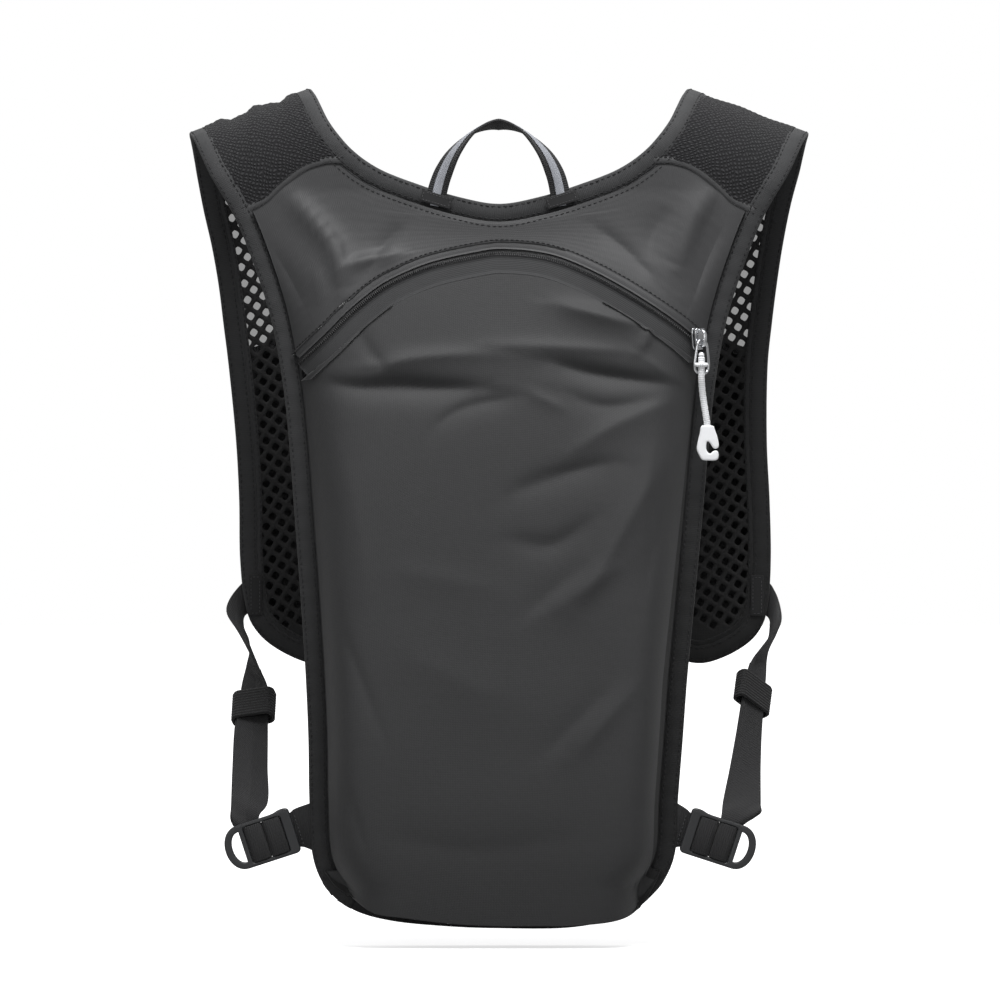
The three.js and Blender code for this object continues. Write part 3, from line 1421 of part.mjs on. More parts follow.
for (const side of SIDES) {
  const { outer, inner } = strapSides(side);
  const frame = lockFrame(side);
  const tailFrom = KEEPER_ROW - 1;
  const shiftTail = (line) =>
    line.slice(tailFrom).map((p, i) => {
      const k = tailFrom + i;
      const after = Math.min(outer.length - 1, k + 1);
      const down = outer[after].clone().sub(outer[k - 1]);
      const wide = inner[k].clone().sub(outer[k]).normalize();
      const out = down.cross(wide).normalize();
      if (out.y < 0) out.negate();
      const aside = wide.multiplyScalar(i < 2 ? -TAIL_SHIFT / 2 : -TAIL_SHIFT);
      return p.clone().addScaledVector(out, WEBBING_THICKNESS - 0.05).add(aside);
    });
  const main = toSolid(band(outer, inner, WEBBING_THICKNESS));
  const tail = toSolid(band(shiftTail(outer), shiftTail(inner), WEBBING_THICKNESS));
  const strap = main.add(tail).add(sleeve(frame, nearBar));
  addMesh("side_strap_" + side.name, toGeometry(strap), WEB);

  // Keeper: an elastic band round both layers
  const top = outer[KEEPER_ROW].clone().add(inner[KEEPER_ROW]).multiplyScalar(0.5);
  const foot = outer[KEEPER_ROW + 1].clone().add(inner[KEEPER_ROW + 1]).multiplyScalar(0.5);
  const wide = inner[KEEPER_ROW].clone().add(inner[KEEPER_ROW + 1]);
  wide.sub(outer[KEEPER_ROW]).sub(outer[KEEPER_ROW + 1]).normalize();
  const up = top.clone().sub(foot).normalize();
  wide.addScaledVector(up, -wide.dot(up)).normalize();
  const out = wide.clone().cross(up);
  if (out.y > 0) out.negate();
  const keeperFrame = {
    u: wide,
    v: up,
    w: out,
    origin: top.add(foot).multiplyScalar(0.5).addScaledVector(out, -WEBBING_THICKNESS / 2),
  };
  const halfWide = WEBBING / 2 + TAIL_SHIFT + 1;
  const halfDeep = WEBBING_THICKNESS + KEEPER_ROOM[side.name];
  const halfHigh = KEEPER_HEIGHT / 2;
  const skin = KEEPER_THICKNESS;
  const keeper = block(
    keeperFrame,
    [-halfWide - skin, -halfHigh, -halfDeep - skin],
    [halfWide + skin, halfHigh, halfDeep + skin],
  ).subtract(
    block(keeperFrame, [-halfWide, -halfHigh - 1, -halfDeep], [halfWide, halfHigh + 1, halfDeep]),
  );
  addMesh("keeper_" + side.name, toGeometry(keeper), WEB);

  // Tab that clamps the webbing's end to the front strap's edge
  const hold = outer[0].clone().add(inner[0]).multiplyScalar(0.5);
  const tabFrame = {
    u: new THREE.Vector3(1, 0, 0),
    v: new THREE.Vector3(0, 0, 1),
    w: new THREE.Vector3(0, -1, 0),
    origin: new THREE.Vector3(hold.x + side.sign * -1, HALF_DEPTH - BINDING_THICKNESS / 2 - GAP, hold.z),
  };
  const tabSolid = block(
    tabFrame,
    [-SIDE_TAB_WIDTH / 2, -SIDE_TAB_HEIGHT / 2, 0],
    [SIDE_TAB_WIDTH / 2, SIDE_TAB_HEIGHT / 2, CLOTH],
  );
  addMesh("side_tab_" + side.name, toGeometry(tabSolid), TAPE);
}

// Plain strap over the chest, with its clasp in the middle
const chestZ = -CHEST_DOWN * LENGTH;
const chestEnds = SIDES.map((side) => {
  const run = runAt(side.sign * 0.45 * HALF_WIDTH, chestZ, 1);
  return xAt(side.overNeck.places, "run", run) - (side.sign * BINDING_WIDTH) / 4;
});
const chestY = HALF_DEPTH + BINDING_THICKNESS / 2 + GAP + WEBBING_THICKNESS / 2;
const CHEST_BOW = 10;
const chestLine = (up) =>
  shares(12).map((t) => {
    const x = chestEnds[0] + (chestEnds[1] - chestEnds[0]) * t;
    const bow = CHEST_BOW * Math.sin(Math.PI * t) ** 2;
    return new THREE.Vector3(x, chestY + bow, chestZ + (up * CHEST_WEBBING) / 2);
  });
const claspFrame = {
  u: new THREE.Vector3(1, 0, 0),
  v: new THREE.Vector3(0, 0, 1),
  w: new THREE.Vector3(0, -1, 0),
  origin: new THREE.Vector3(0, chestY + CHEST_BOW, chestZ),
};
const claspHalf = CHEST_WEBBING / 2 + 3;
const clasp = block(
  claspFrame,
  [-CLASP_LENGTH / 2, -claspHalf, -CLASP_THICKNESS / 2],
  [CLASP_LENGTH / 2, claspHalf, CLASP_THICKNESS / 2],
);
const chestStrap = toSolid(band(chestLine(1), chestLine(-1), WEBBING_THICKNESS)).add(clasp);
addMesh("chest_strap", toGeometry(chestStrap), WEB);

export default vest;
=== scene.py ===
import math

import bmesh
import bpy
import numpy as np
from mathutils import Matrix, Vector


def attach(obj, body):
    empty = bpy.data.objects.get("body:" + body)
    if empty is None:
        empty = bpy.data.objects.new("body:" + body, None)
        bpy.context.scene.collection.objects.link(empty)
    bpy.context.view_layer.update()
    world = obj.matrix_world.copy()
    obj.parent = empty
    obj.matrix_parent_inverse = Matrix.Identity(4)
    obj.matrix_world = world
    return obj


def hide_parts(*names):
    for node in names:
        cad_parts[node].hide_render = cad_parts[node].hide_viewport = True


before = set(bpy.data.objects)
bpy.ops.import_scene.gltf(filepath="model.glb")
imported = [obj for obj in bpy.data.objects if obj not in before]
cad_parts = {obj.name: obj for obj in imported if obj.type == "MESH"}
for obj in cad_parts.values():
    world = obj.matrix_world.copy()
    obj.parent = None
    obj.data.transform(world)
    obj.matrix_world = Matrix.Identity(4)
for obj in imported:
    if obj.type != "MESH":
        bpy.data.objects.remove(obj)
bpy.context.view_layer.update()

# A running hydration vest. The tables repeat the model's own sizes, in millimetres;
# +X to the right of the picture, -Y to the viewer, +Z up.
MM = 0.001
HALF_WIDTH = 157.0
LENGTH = 411.0
HALF_DEPTH = 40.0
PACK_DEPTH = 36.0
PANEL_THICKNESS = 4.0
MESH_THICKNESS = 2.6
NET_THICKNESS = 1.1
GAP = 0.3
BINDING_WIDTH = 9.5
BINDING_THICKNESS = 3.0
SEAM_WIDTH = 3.5
POCKET_DEPTH = 24.0
WEBBING = 18.0
WEBBING_THICKNESS = 1.4
CREST = [(0.611, -0.028), (1.0, 0.027)]

ARM_EDGE = [
    (0.028, 0.997, 0.997), (0.078, 0.927, 0.927), (0.128, 0.85, 0.85), (0.169, 0.804, 0.804),
    (0.252, 0.732, 0.732), (0.333, 0.692, 0.692), (0.404, 0.672, 0.672), (0.5, 0.653, 0.65),
    (0.599, 0.634, 0.626), (0.696, 0.618, 0.602), (0.769, 0.61, 0.588), (0.842, 0.607, 0.573),
    (0.91, 0.597, 0.562), (0.939, 0.572, 0.532),
]
HEM_EDGE = [
    (-0.529, 0.964), (-0.446, 0.981), (-0.344, 0.991), (-0.156, 0.998), (-0.01, 1.0),
    (0.232, 0.999), (0.354, 0.99), (0.433, 0.977), (0.484, 0.962),
]
NECKLINE = [
    (0.0, 0.115), (0.124, 0.107), (0.252, 0.092), (0.389, 0.071), (0.475, 0.047), (0.541, 0.016),
    (0.611, -0.028),
]
STRAP_OUTER_EDGE = [
    (0.063, 0.99, 0.984), (0.112, 0.968, 0.952), (0.161, 0.939, 0.927), (0.209, 0.917, 0.908),
    (0.258, 0.901, 0.892), (0.307, 0.885, 0.879), (0.404, 0.86, 0.876), (0.477, 0.85, 0.885),
    (0.55, 0.847, 0.889), (0.599, 0.834, 0.882), (0.629, 0.812, 0.866), (0.651, 0.768, 0.828),
    (0.672, 0.682, 0.742), (0.681, 0.602, 0.653),
]
STRAP_INNER_EDGE = [
    (0.67, 0.529, 0.56), (0.644, 0.478, 0.49), (0.599, 0.452, 0.452), (0.477, 0.443, 0.443),
    (0.258, 0.475, 0.475), (0.112, 0.538, 0.538), (0.027, 0.583, 0.583),
]
SHOULDER_SEAM = [(0.548, 0.062), (0.615, 0.07), (0.694, 0.092), (0.745, 0.11), (0.82, 0.124)]
ZIP_ARCH = [
    (-0.64, 0.311), (-0.541, 0.276), (-0.475, 0.25), (-0.382, 0.221), (-0.328, 0.209),
    (-0.22, 0.192), (-0.061, 0.178), (-0.006, 0.175), (0.156, 0.181), (0.303, 0.203),
    (0.475, 0.241), (0.592, 0.273), (0.645, 0.291),
]
POUCH_BOTTOM = [
    (-0.56, 0.93), (-0.521, 0.949), (-0.465, 0.962), (-0.395, 0.978), (-0.303, 0.983),
    (-0.156, 0.99), (0.0, 0.993), (0.111, 0.993), (0.264, 0.992), (0.404, 0.984),
    (0.455, 0.972), (0.52, 0.93),
]
PACK_PROFILE = [
    (0.1, 0.0, 6), (0.15, 0.08, 6), (0.2, 0.24, 7), (0.25, 0.38, 8), (0.3, 0.5, 9),
    (0.4, 0.66, 11), (0.5, 0.78, 12), (0.6, 0.87, 14), (0.7, 0.95, 16), (0.82, 1.0, 16),
    (0.9, 0.97, 14), (0.96, 0.88, 12), (1.0, 0.8, 10),
]


def unit(v):
    return v / max(1e-12, np.linalg.norm(v))


def value_at(rows, place, column, at):
    """Value of a column of a table at a place, on a smooth curve through the rows."""
    last = len(rows) - 1
    i = 0
    while i < last - 1 and rows[i + 1][place] < at:
        i += 1

    def slope(k):
        low = rows[max(0, k - 1)]
        high = rows[min(last, k + 1)]
        return (high[column] - low[column]) / (high[place] - low[place])

    a, b = rows[i], rows[i + 1]
    span = b[place] - a[place]
    t = min(1.0, max(0.0, (at - a[place]) / span))
    t2, t3 = t * t, t * t * t
    return (
        a[column] * (2 * t3 - 3 * t2 + 1)
        + slope(i) * span * (t3 - 2 * t2 + t)
        + b[column] * (3 * t2 - 2 * t3)
        + slope(i + 1) * span * (t3 - t2)
    )


def catmull(points, step):
    """Smooth centripetal curve through points, as evenly spaced points."""
    p = [np.asarray(q, float) for q in points]
    dense = []
    for i in range(len(p) - 1):
        p0 = p[i - 1] if i else p[0] * 2 - p[1]
        p1, p2 = p[i], p[i + 1]
        p3 = p[i + 2] if i + 2 < len(p) else p[-1] * 2 - p[-2]
        d0, d1, d2 = (math.sqrt(max(1e-6, np.linalg.norm(b - a)))
                      for a, b in ((p0, p1), (p1, p2), (p2, p3)))
        m1 = ((p1 - p0) / d0 - (p2 - p0) / (d0 + d1) + (p2 - p1) / d1) * d1
        m2 = ((p2 - p1) / d1 - (p3 - p1) / (d1 + d2) + (p3 - p2) / d2) * d1
        for k in range(24):
            t = k / 24
            dense.append(
                p1 * (2 * t ** 3 - 3 * t ** 2 + 1) + m1 * (t ** 3 - 2 * t ** 2 + t)
                + p2 * (3 * t ** 2 - 2 * t ** 3) + m2 * (t ** 3 - t ** 2)
            )
    dense.append(p[-1])
    return resample(np.array(dense), step)


def lengths_of(line):
    return np.concatenate([[0], np.cumsum(np.linalg.norm(np.diff(line, axis=0), axis=1))])


def resample(line, step, start=0.0, end=None):
    lengths = lengths_of(line)
    end = lengths[-1] if end is None else end
    count = max(2, int(round((end - start) / step)))
    at = np.linspace(start, end, count + 1)
    return np.stack([np.interp(at, lengths, line[:, k]) for k in range(line.shape[1])], axis=1)


def at_share(line, share):
    lengths = lengths_of(line)
    return np.array([np.interp(share * lengths[-1], lengths, line[:, k]) for k in range(3)])


CREST_SLOPE = ((CREST[1][1] - CREST[0][1]) * LENGTH) / ((CREST[1][0] - CREST[0][0]) * HALF_WIDTH)
QUARTER = HALF_DEPTH * math.pi / 2


def crest_height(x):
    return -CREST[0][1] * LENGTH - CREST_SLOPE * (abs(x) - CREST[0][0] * HALF_WIDTH)


def run_at(x, z, face):
    drop = max(0.0, crest_height(x) - z)
    if drop < HALF_DEPTH:
        return face * HALF_DEPTH * math.acos(1 - drop / HALF_DEPTH)
    return face * (QUARTER + drop - HALF_DEPTH)


def sheet_normal(x, run):
    bend = min(QUARTER, max(-QUARTER, run)) / HALF_DEPTH
    along_x = np.array([1, 0, -CREST_SLOPE * np.sign(x)])
    along_run = np.array([0, math.cos(bend), -math.sin(bend)])
    return unit(np.cross(along_x, along_run))


def sheet_point(x, run, lift=0.0):
    """Point of the sheet that the harness lies on: down the back, over the shoulder, down."""
    bend = min(QUARTER, max(-QUARTER, run)) / HALF_DEPTH
    straight = max(0.0, abs(run) - QUARTER)
    z = crest_height(x) - HALF_DEPTH * (1 - math.cos(bend)) - straight
    point = np.array([x, HALF_DEPTH * math.sin(bend), z])
    return point + sheet_normal(x, run) * lift


def settle(p):
    above = p[2] - (crest_height(p[0]) - HALF_DEPTH)
    face = 1.0 if p[1] >= 0 else -1.0
    if above <= 0:
        return p[0], face * (QUARTER - above)
    return p[0], HALF_DEPTH * math.atan2(p[1], above)


def on_sheet(p, lift=0.0):
    return sheet_point(*settle(p), lift)


def sheet_line(points, step):
    return np.array([on_sheet(p) for p in catmull(points, step)])


def frames_of(line):
    """Directions at each point of a line on the sheet: along, across and out."""
    found = []
    for i, p in enumerate(line):
        along = unit(line[min(len(line) - 1, i + 1)] - line[max(0, i - 1)])
        out = sheet_normal(*settle(p))
        found.append((along, unit(np.cross(along, out)), out))
    return found


def shifted(line, distance, lift=0.0):
    moved = [p + f[1] * distance for p, f in zip(line, frames_of(line))]
    return np.array([on_sheet(p, lift) for p in moved])


def back_place(across, down):
    x = across * HALF_WIDTH
    return sheet_point(x, run_at(x, -down * LENGTH, -1))


def front_place(across, down):
    x = across * HALF_WIDTH
    return sheet_point(x, run_at(x, -down * LENGTH, 1))


SIDES = {"left": -1, "right": 1}


def arm_points(side):
    column = 1 if side == "left" else 2
    return [back_place(SIDES[side] * row[column], row[0]) for row in ARM_EDGE]


def strap_points(rows, side):
    column = 1 if side == "left" else 2
    return [front_place(SIDES[side] * row[column], row[0]) for row in rows]


# The edge of the whole harness is one line, from the hem's left end round to the hem
neck_points = [back_place(-a, d) for a, d in NECKLINE[:0:-1]] + [back_place(a, d) for a, d in NECKLINE]
hem_points = [back_place(a, d) for a, d in HEM_EDGE]
edge = sheet_line(
    [hem_points[0]] + arm_points("left")[::-1] + strap_points(STRAP_OUTER_EDGE, "left")
    + strap_points(STRAP_INNER_EDGE, "left") + neck_points
    + strap_points(STRAP_INNER_EDGE, "right")[::-1]
    + strap_points(STRAP_OUTER_EDGE, "right")[::-1] + arm_points("right") + hem_points[::-1],
    2.0,
)
edge_lengths = lengths_of(edge)
edge_frames = frames_of(edge)
edge_total = edge_lengths[-1]


def length_at(point):
    return edge_lengths[int(np.argmin(np.linalg.norm(edge - point, axis=1)))]


def edge_inside(distance):
    return np.array([on_sheet(p + f[1] * distance) for p, f in zip(edge, edge_frames)])


cloth_edge = edge_inside(BINDING_WIDTH + 0.1)
strap_joints = {s: length_at(strap_points(STRAP_INNER_EDGE, s)[1]) for s in SIDES}
hem_joint = length_at(hem_points[-1])
arm_crests = {s: length_at(sheet_point(SIDES[s] * HALF_WIDTH, 0)) for s in SIDES}
neck_crests = {s: length_at(sheet_point(SIDES[s] * CREST[0][0] * HALF_WIDTH, 0)) for s in SIDES}


def stretch_of(line, start, end):
    keep = (edge_lengths >= start) & (edge_lengths <= end)
    return line[keep]


def branch(start, end, line=None):
    points = stretch_of(cloth_edge if line is None else line, start, end)
    return np.array([[*settle(p), p[2]] for p in points])


def x_at(places, key, value):
    """Distance from the middle where a branch's run (1) or height (2) passes a value."""
    column = places[:, key]
    crossings = np.nonzero((column[:-1] - value) * (column[1:] - value) <= 0)[0]
    if len(crossings):
        i = crossings[0]
        a, b = column[i], column[i + 1]
        t = 0 if a == b else (value - a) / (b - a)
        return places[i, 0] + (places[i + 1, 0] - places[i, 0]) * t
    nearest = 0 if abs(column[0] - value) < abs(column[-1] - value) else -1
    return places[nearest, 0]


class Side:
    """The lines of one side, all found on the one edge."""

    def __init__(self, name):
        self.name = name
        self.sign = SIDES[name]
        left = self.sign < 0
        runs = np.array([settle(p)[1] for p in cloth_edge])
        keep = edge_lengths < neck_crests[name] if left else edge_lengths > neck_crests[name]
        tip_index = np.nonzero(keep)[0][int(np.argmax(runs[keep]))]
        tip = edge_lengths[tip_index]
        self.tip_run = runs[tip_index]
        middle = (neck_crests["left"] + neck_crests["right"]) / 2
        crest = arm_crests[name]
        self.arm = branch(0, crest) if left else branch(crest, hem_joint)
        self.over_arm = branch(0, tip) if left else branch(tip, hem_joint)
        self.over_neck = branch(tip, middle) if left else branch(middle, tip)


sides = {name: Side(name) for name in SIDES}


def seam_height(x):
    return -value_at(SHOULDER_SEAM, 0, 1, abs(x) / HALF_WIDTH) * LENGTH


def seam_place(x):
    return sheet_point(x, run_at(x, seam_height(x), -1))


def seam_ends(side):
    left = side.sign < 0
    middle = (neck_crests["left"] + neck_crests["right"]) / 2
    arm = stretch_of(cloth_edge, 0, arm_crests["left"]) if left else stretch_of(
        cloth_edge, arm_crests["right"], hem_joint)
    neck = stretch_of(cloth_edge, neck_crests["left"], middle) if left else stretch_of(
        cloth_edge, middle, neck_crests["right"])

    def meets(line):
        away = [abs(p[2] - seam_height(p[0])) for p in line]
        return line[int(np.argmin(away))][0]

    return meets(arm), meets(neck)


def seam_line(side, steps=40):
    start, end = seam_ends(side)
    return np.array([seam_place(x) for x in np.linspace(start, end, steps + 1)])


# Mesh helpers: points are in millimetres and the meshes in metres

def new_object(name, verts, faces, materials, uvs=None, smooth=True, indices=None):
    mesh = bpy.data.meshes.new(name)
    mesh.from_pydata([tuple(v * MM) for v in np.asarray(verts, float)], [], faces)
    for material in materials:
        mesh.materials.append(material)
    if indices is not None:
        mesh.polygons.foreach_set("material_index", indices)
    if smooth:
        mesh.polygons.foreach_set("use_smooth", [True] * len(mesh.polygons))
    if uvs is not None:
        layer = mesh.uv_layers.new(name="UVMap")
        corner = np.zeros(len(mesh.loops), dtype=np.int32)
        mesh.loops.foreach_get("vertex_index", corner)
        layer.data.foreach_set("uv", np.asarray(uvs, float)[corner].ravel())
    mesh.update()
    piece = bpy.data.objects.new(name, mesh)
    bpy.context.scene.collection.objects.link(piece)
    return piece


def finish_piece(piece, slot, *nodes):
    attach(piece, "root")
    if nodes:
        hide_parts(*nodes)
    return piece


def face_normals(grid):
    """Unit directions out of a grid of points, by its rows and columns."""
    rows = np.gradient(grid, axis=0)
    columns = np.gradient(grid, axis=1)
    out = np.cross(columns, rows)
    return out / np.maximum(1e-9, np.linalg.norm(out, axis=2, keepdims=True))


def slab(name, grid, thickness, materials, outward, uv_size=None, keep=None):
    """Closed cloth of a thickness whose outer face is a grid of points."""
    grid = np.asarray(grid, float)
    rows, columns = grid.shape[:2]
    out = face_normals(grid)
    flip = np.sum(out * np.asarray(outward, float), axis=2, keepdims=True) < 0
    if np.mean(flip) > 0.5:
        out = -out
    inner = grid - out * thickness
    if keep is not None:
        inner = keep(inner)
    verts = np.concatenate([grid.reshape(-1, 3), inner.reshape(-1, 3)])
    n = rows * columns
    index = np.arange(n).reshape(rows, columns)
    a, b, c, d = index[:-1, :-1], index[:-1, 1:], index[1:, 1:], index[1:, :-1]
    quads = np.stack([a, b, c, d], axis=-1).reshape(-1, 4)
    middle = grid[rows // 2, columns // 2]
    right = grid[rows // 2, min(columns - 1, columns // 2 + 1)] - middle
    below = grid[min(rows - 1, rows // 2 + 1), columns // 2] - middle
    turned = np.dot(np.cross(right, below), out[rows // 2, columns // 2]) < 0
    if turned:
        quads = quads[:, ::-1]
    faces = [tuple(q) for q in quads] + [tuple(q[::-1] + n) for q in quads]
    loop = list(index[0, :]) + list(index[1:, -1]) + list(index[-1, -2::-1]) + list(index[-2:0:-1, 0])
    for i, p in enumerate(loop):
        q = loop[(i + 1) % len(loop)]
        faces.append((p, p + n, q + n, q) if turned else (q, q + n, p + n, p))
    if uv_size is None:
        across = lengths_of(grid[rows // 2])
        down = lengths_of(grid[:, columns // 2])
    else:
        across = np.linspace(0, uv_size[0], columns)
        down = np.linspace(0, uv_size[1], rows)
    uv = np.stack(np.meshgrid(across, down), axis=-1).reshape(-1, 2)
    return new_object(name, verts, faces, materials, np.concatenate([uv, uv]))


def lofted(name, sections, materials, closed=False, uvs=True):
    """Closed body through sections, each a loop of points with the same count."""
    sections = np.asarray(sections, float)
    count, around = sections.shape[:2]
    verts = sections.reshape(-1, 3)
    faces = []
    last = count if closed else count - 1
    for i in range(last):
        j = (i + 1) % count
        for k in range(around):
            m = (k + 1) % around
            faces.append((i * around + k, i * around + m, j * around + m, j * around + k))
    if not closed:
        faces.append(tuple(range(around))[::-1])
        faces.append(tuple((count - 1) * around + k for k in range(around)))
    lengths = lengths_of(sections.mean(axis=1))
    ring = lengths_of(sections[0])
    uv = np.stack(np.meshgrid(ring, lengths), axis=-1).reshape(-1, 2) if uvs else None
    piece = new_object(name, verts, faces, materials, uv)
    make_consistent(piece)
    return piece


def make_consistent(piece):
    mesh = bmesh.new()
    mesh.from_mesh(piece.data)
    bmesh.ops.recalc_face_normals(mesh, faces=mesh.faces)
    mesh.to_mesh(piece.data)
    mesh.free()


def tube_sections(points, radius, sides=10, closed=False, flat=1.0):
    points = np.asarray(points, float)
    count = len(points)
    found = []
    normal = None
    for i, p in enumerate(points):
        if closed:
            along = unit(points[(i + 1) % count] - points[i - 1])
        else:
            along = unit(points[min(count - 1, i + 1)] - points[max(0, i - 1)])
        if normal is None:
            normal = unit(np.cross(along, [0.31, 1.0, 0.17]))
        normal = unit(normal - along * np.dot(normal, along))
        across = np.cross(along, normal)
        r = radius[i] if hasattr(radius, "__len__") else radius
        turns = [2 * math.pi * k / sides for k in range(sides)]
        found.append([p + normal * r * math.cos(t) + across * r * flat * math.sin(t) for t in turns])
    return found


def rounded_profile(width, thickness, edge, steps=4, crown=0.0):
    """Section of a tape: pairs of across and out, round at its sides."""
    half, side = thickness / 2, width / 2
    found = []
    for sign in (1, -1):
        for k in range(steps + 1):
            angle = math.pi / 2 - math.pi * k / steps if sign > 0 else -math.pi / 2 - math.pi * k / steps
            found.append((sign * (side - edge) + edge * math.cos(angle) * 1.0, half * math.sin(angle)))
        found.append((0.0, -sign * half * (1 + crown)))
    return found


def tape_along(name, line, width, thickness, materials, edge=1.2, lift=0.0, crown=0.08, wave=None):
    """Tape that lies on the sheet along a line of it."""
    profile = rounded_profile(width, thickness, edge, crown=crown)
    lengths = lengths_of(line)
    sections = []
    for i, (p, f) in enumerate(zip(line, frames_of(line))):
        move = wave(lengths[i]) if wave else 0.0
        centre = p + f[2] * (lift + move)
        sections.append([centre + f[1] * a + f[2] * o for a, o in profile])
    return lofted(name, sections, materials)


def dashes(name, line, directions, material, pitch=3.2, share=0.62, width=0.55, height=0.5, sink=0.2):
    """Row of stitches along a line: each a small flattened bead lying on the surface."""
    lengths = lengths_of(line)
    verts, faces = [], []
    count = int(lengths[-1] / pitch)
    outs = np.array(directions)
    for k in range(count):
        middle = (k + 0.5) * pitch
        ends = []
        for offset in (-0.5, -0.28, 0.28, 0.5):
            at = middle + offset * pitch * share
            p = np.array([np.interp(at, lengths, line[:, c]) for c in range(3)])
            out = unit(np.array([np.interp(at, lengths, outs[:, c]) for c in range(3)]))
            ends.append((p, out))
        along = unit(ends[3][0] - ends[0][0])
        base = len(verts)
        for (p, out), size in zip(ends, (0.45, 1.0, 1.0, 0.45)):
            across = np.cross(along, out)
            w, h = width / 2 * size, height * size
            verts += [p + across * w - out * sink, p + across * w * 0.8 + out * h * 0.8,
                      p + out * h, p - across * w * 0.8 + out * h * 0.8, p - across * w - out * sink]
        for i in range(3):
            for j in range(4):
                a = base + i * 5 + j
                faces.append((a, a + 1, a + 6, a + 5))
        faces.append(tuple(base + j for j in range(4, -1, -1)))
        faces.append(tuple(base + 15 + j for j in range(5)))
    piece = new_object(name, verts, faces, [material])
    make_consistent(piece)
    return piece


def sleeve_faces(rows, count):
    """Faces of a sleeve: each row has an outer loop of points and then an inner one."""
    faces = []
    end = (rows - 1) * 2 * count
    for r in range(rows - 1):
        a, b = r * 2 * count, (r + 1) * 2 * count
        for k in range(count):
            m = (k + 1) % count
            faces.append((a + k, a + m, b + m, b + k))
            faces.append((a + count + m, a + count + k, b + count + k, b + count + m))
    for k in range(count):
        m = (k + 1) % count
        faces.append((k, count + k, count + m, m))
        faces.append((end + m, end + count + m, end + count + k, end + k))
    return faces


def joined(name, *parts):
    """One object out of several."""
    bpy.ops.object.select_all(action="DESELECT")
    for part in parts:
        part.select_set(True)
    bpy.context.view_layer.objects.active = parts[0]
    bpy.ops.object.join()
    parts[0].name = name
    parts[0].data.name = name
    return parts[0]


# Materials: every one is made of nodes, with its weave or grain in millimetres of the cloth

class Nodes:
    """Short ways to lay out a material's nodes."""

    def __init__(self, name):
        self.material = bpy.data.materials.new(name)
        self.material.use_nodes = True
        self.tree = self.material.node_tree
        self.shader = self.tree.nodes["Principled BSDF"]

    def add(self, kind, **inputs):
        node = self.tree.nodes.new(kind)
        for key, value in inputs.items():
            if hasattr(value, "node"):
                self.tree.links.new(value, node.inputs[key])
            else:
                node.inputs[key].default_value = value
        return node

    def math(self, operation, a, b=0.5, clamp=False):
        node = self.tree.nodes.new("ShaderNodeMath")
        node.operation = operation
        node.use_clamp = clamp
        for i, value in enumerate((a, b)):
            if hasattr(value, "node"):
                self.tree.links.new(value, node.inputs[i])
            else:
                node.inputs[i].default_value = value
        return node.outputs[0]

    def place(self, scale, uv=False, turn=0.0):
        coordinates = self.tree.nodes.new("ShaderNodeTexCoord")
        mapping = self.tree.nodes.new("ShaderNodeMapping")
        self.tree.links.new(coordinates.outputs["UV" if uv else "Object"], mapping.inputs[0])
        mapping.inputs["Scale"].default_value = scale if hasattr(scale, "__len__") else (scale,) * 3
        mapping.inputs["Rotation"].default_value = (0, 0, turn)
        return mapping.outputs[0]

    def noise(self, vector, scale, detail=3.0, roughness=0.55):
        node = self.add("ShaderNodeTexNoise", Vector=vector, Scale=scale, Detail=detail, Roughness=roughness)
        return node.outputs["Fac"]

    def wave(self, vector, scale, direction="X", profile="SIN", distortion=0.0, detail_scale=1.0):
        node = self.add("ShaderNodeTexWave", Vector=vector, Scale=scale, Distortion=distortion)
        node.bands_direction = direction
        node.wave_profile = profile
        node.inputs["Detail Scale"].default_value = detail_scale
        return node.outputs["Fac"]

    def mix(self, factor, a, b):
        node = self.tree.nodes.new("ShaderNodeMix")
        node.data_type = "RGBA"
        self.tree.links.new(factor, node.inputs[0])
        for i, value in ((6, a), (7, b)):
            if hasattr(value, "node"):
                self.tree.links.new(value, node.inputs[i])
            else:
                node.inputs[i].default_value = (*value, 1.0)
        return node.outputs[2]

    def blend(self, share, a, b):
        node = self.tree.nodes.new("ShaderNodeMix")
        node.data_type = "RGBA"
        node.inputs[0].default_value = share
        self.tree.links.new(a, node.inputs[6])
        self.tree.links.new(b, node.inputs[7])
        return node.outputs[2]

    def ramp(self, factor, low, high):
        node = self.tree.nodes.new("ShaderNodeMapRange")
        self.tree.links.new(factor, node.inputs[0])
        node.inputs[1].default_value = low
        node.inputs[2].default_value = high
        return node.outputs[0]

    def bump(self, height, strength, distance, before=None):
        node = self.add("ShaderNodeBump", Height=height, Strength=strength, Distance=distance)
        if before is not None:
            self.tree.links.new(before, node.inputs["Normal"])
        return node.outputs["Normal"]

    def finish(self, color, roughness, normal=None, metallic=0.0, sheen=0.0, coat=0.0):
        sockets = self.shader.inputs
        if hasattr(color, "node"):
            self.tree.links.new(color, sockets["Base Color"])
        else:
            sockets["Base Color"].default_value = (*color, 1.0)
        if hasattr(roughness, "node"):
            self.tree.links.new(roughness, sockets["Roughness"])
        else:
            sockets["Roughness"].default_value = roughness
        if normal is not None:
            self.tree.links.new(normal, sockets["Normal"])
        sockets["Metallic"].default_value = metallic
        sockets["Sheen Weight"].default_value = sheen
        sockets["Sheen Roughness"].default_value = 0.4
        sockets["Coat Weight"].default_value = coat
        return self.material


def shade(color, factor):
    return tuple(c * factor for c in color)


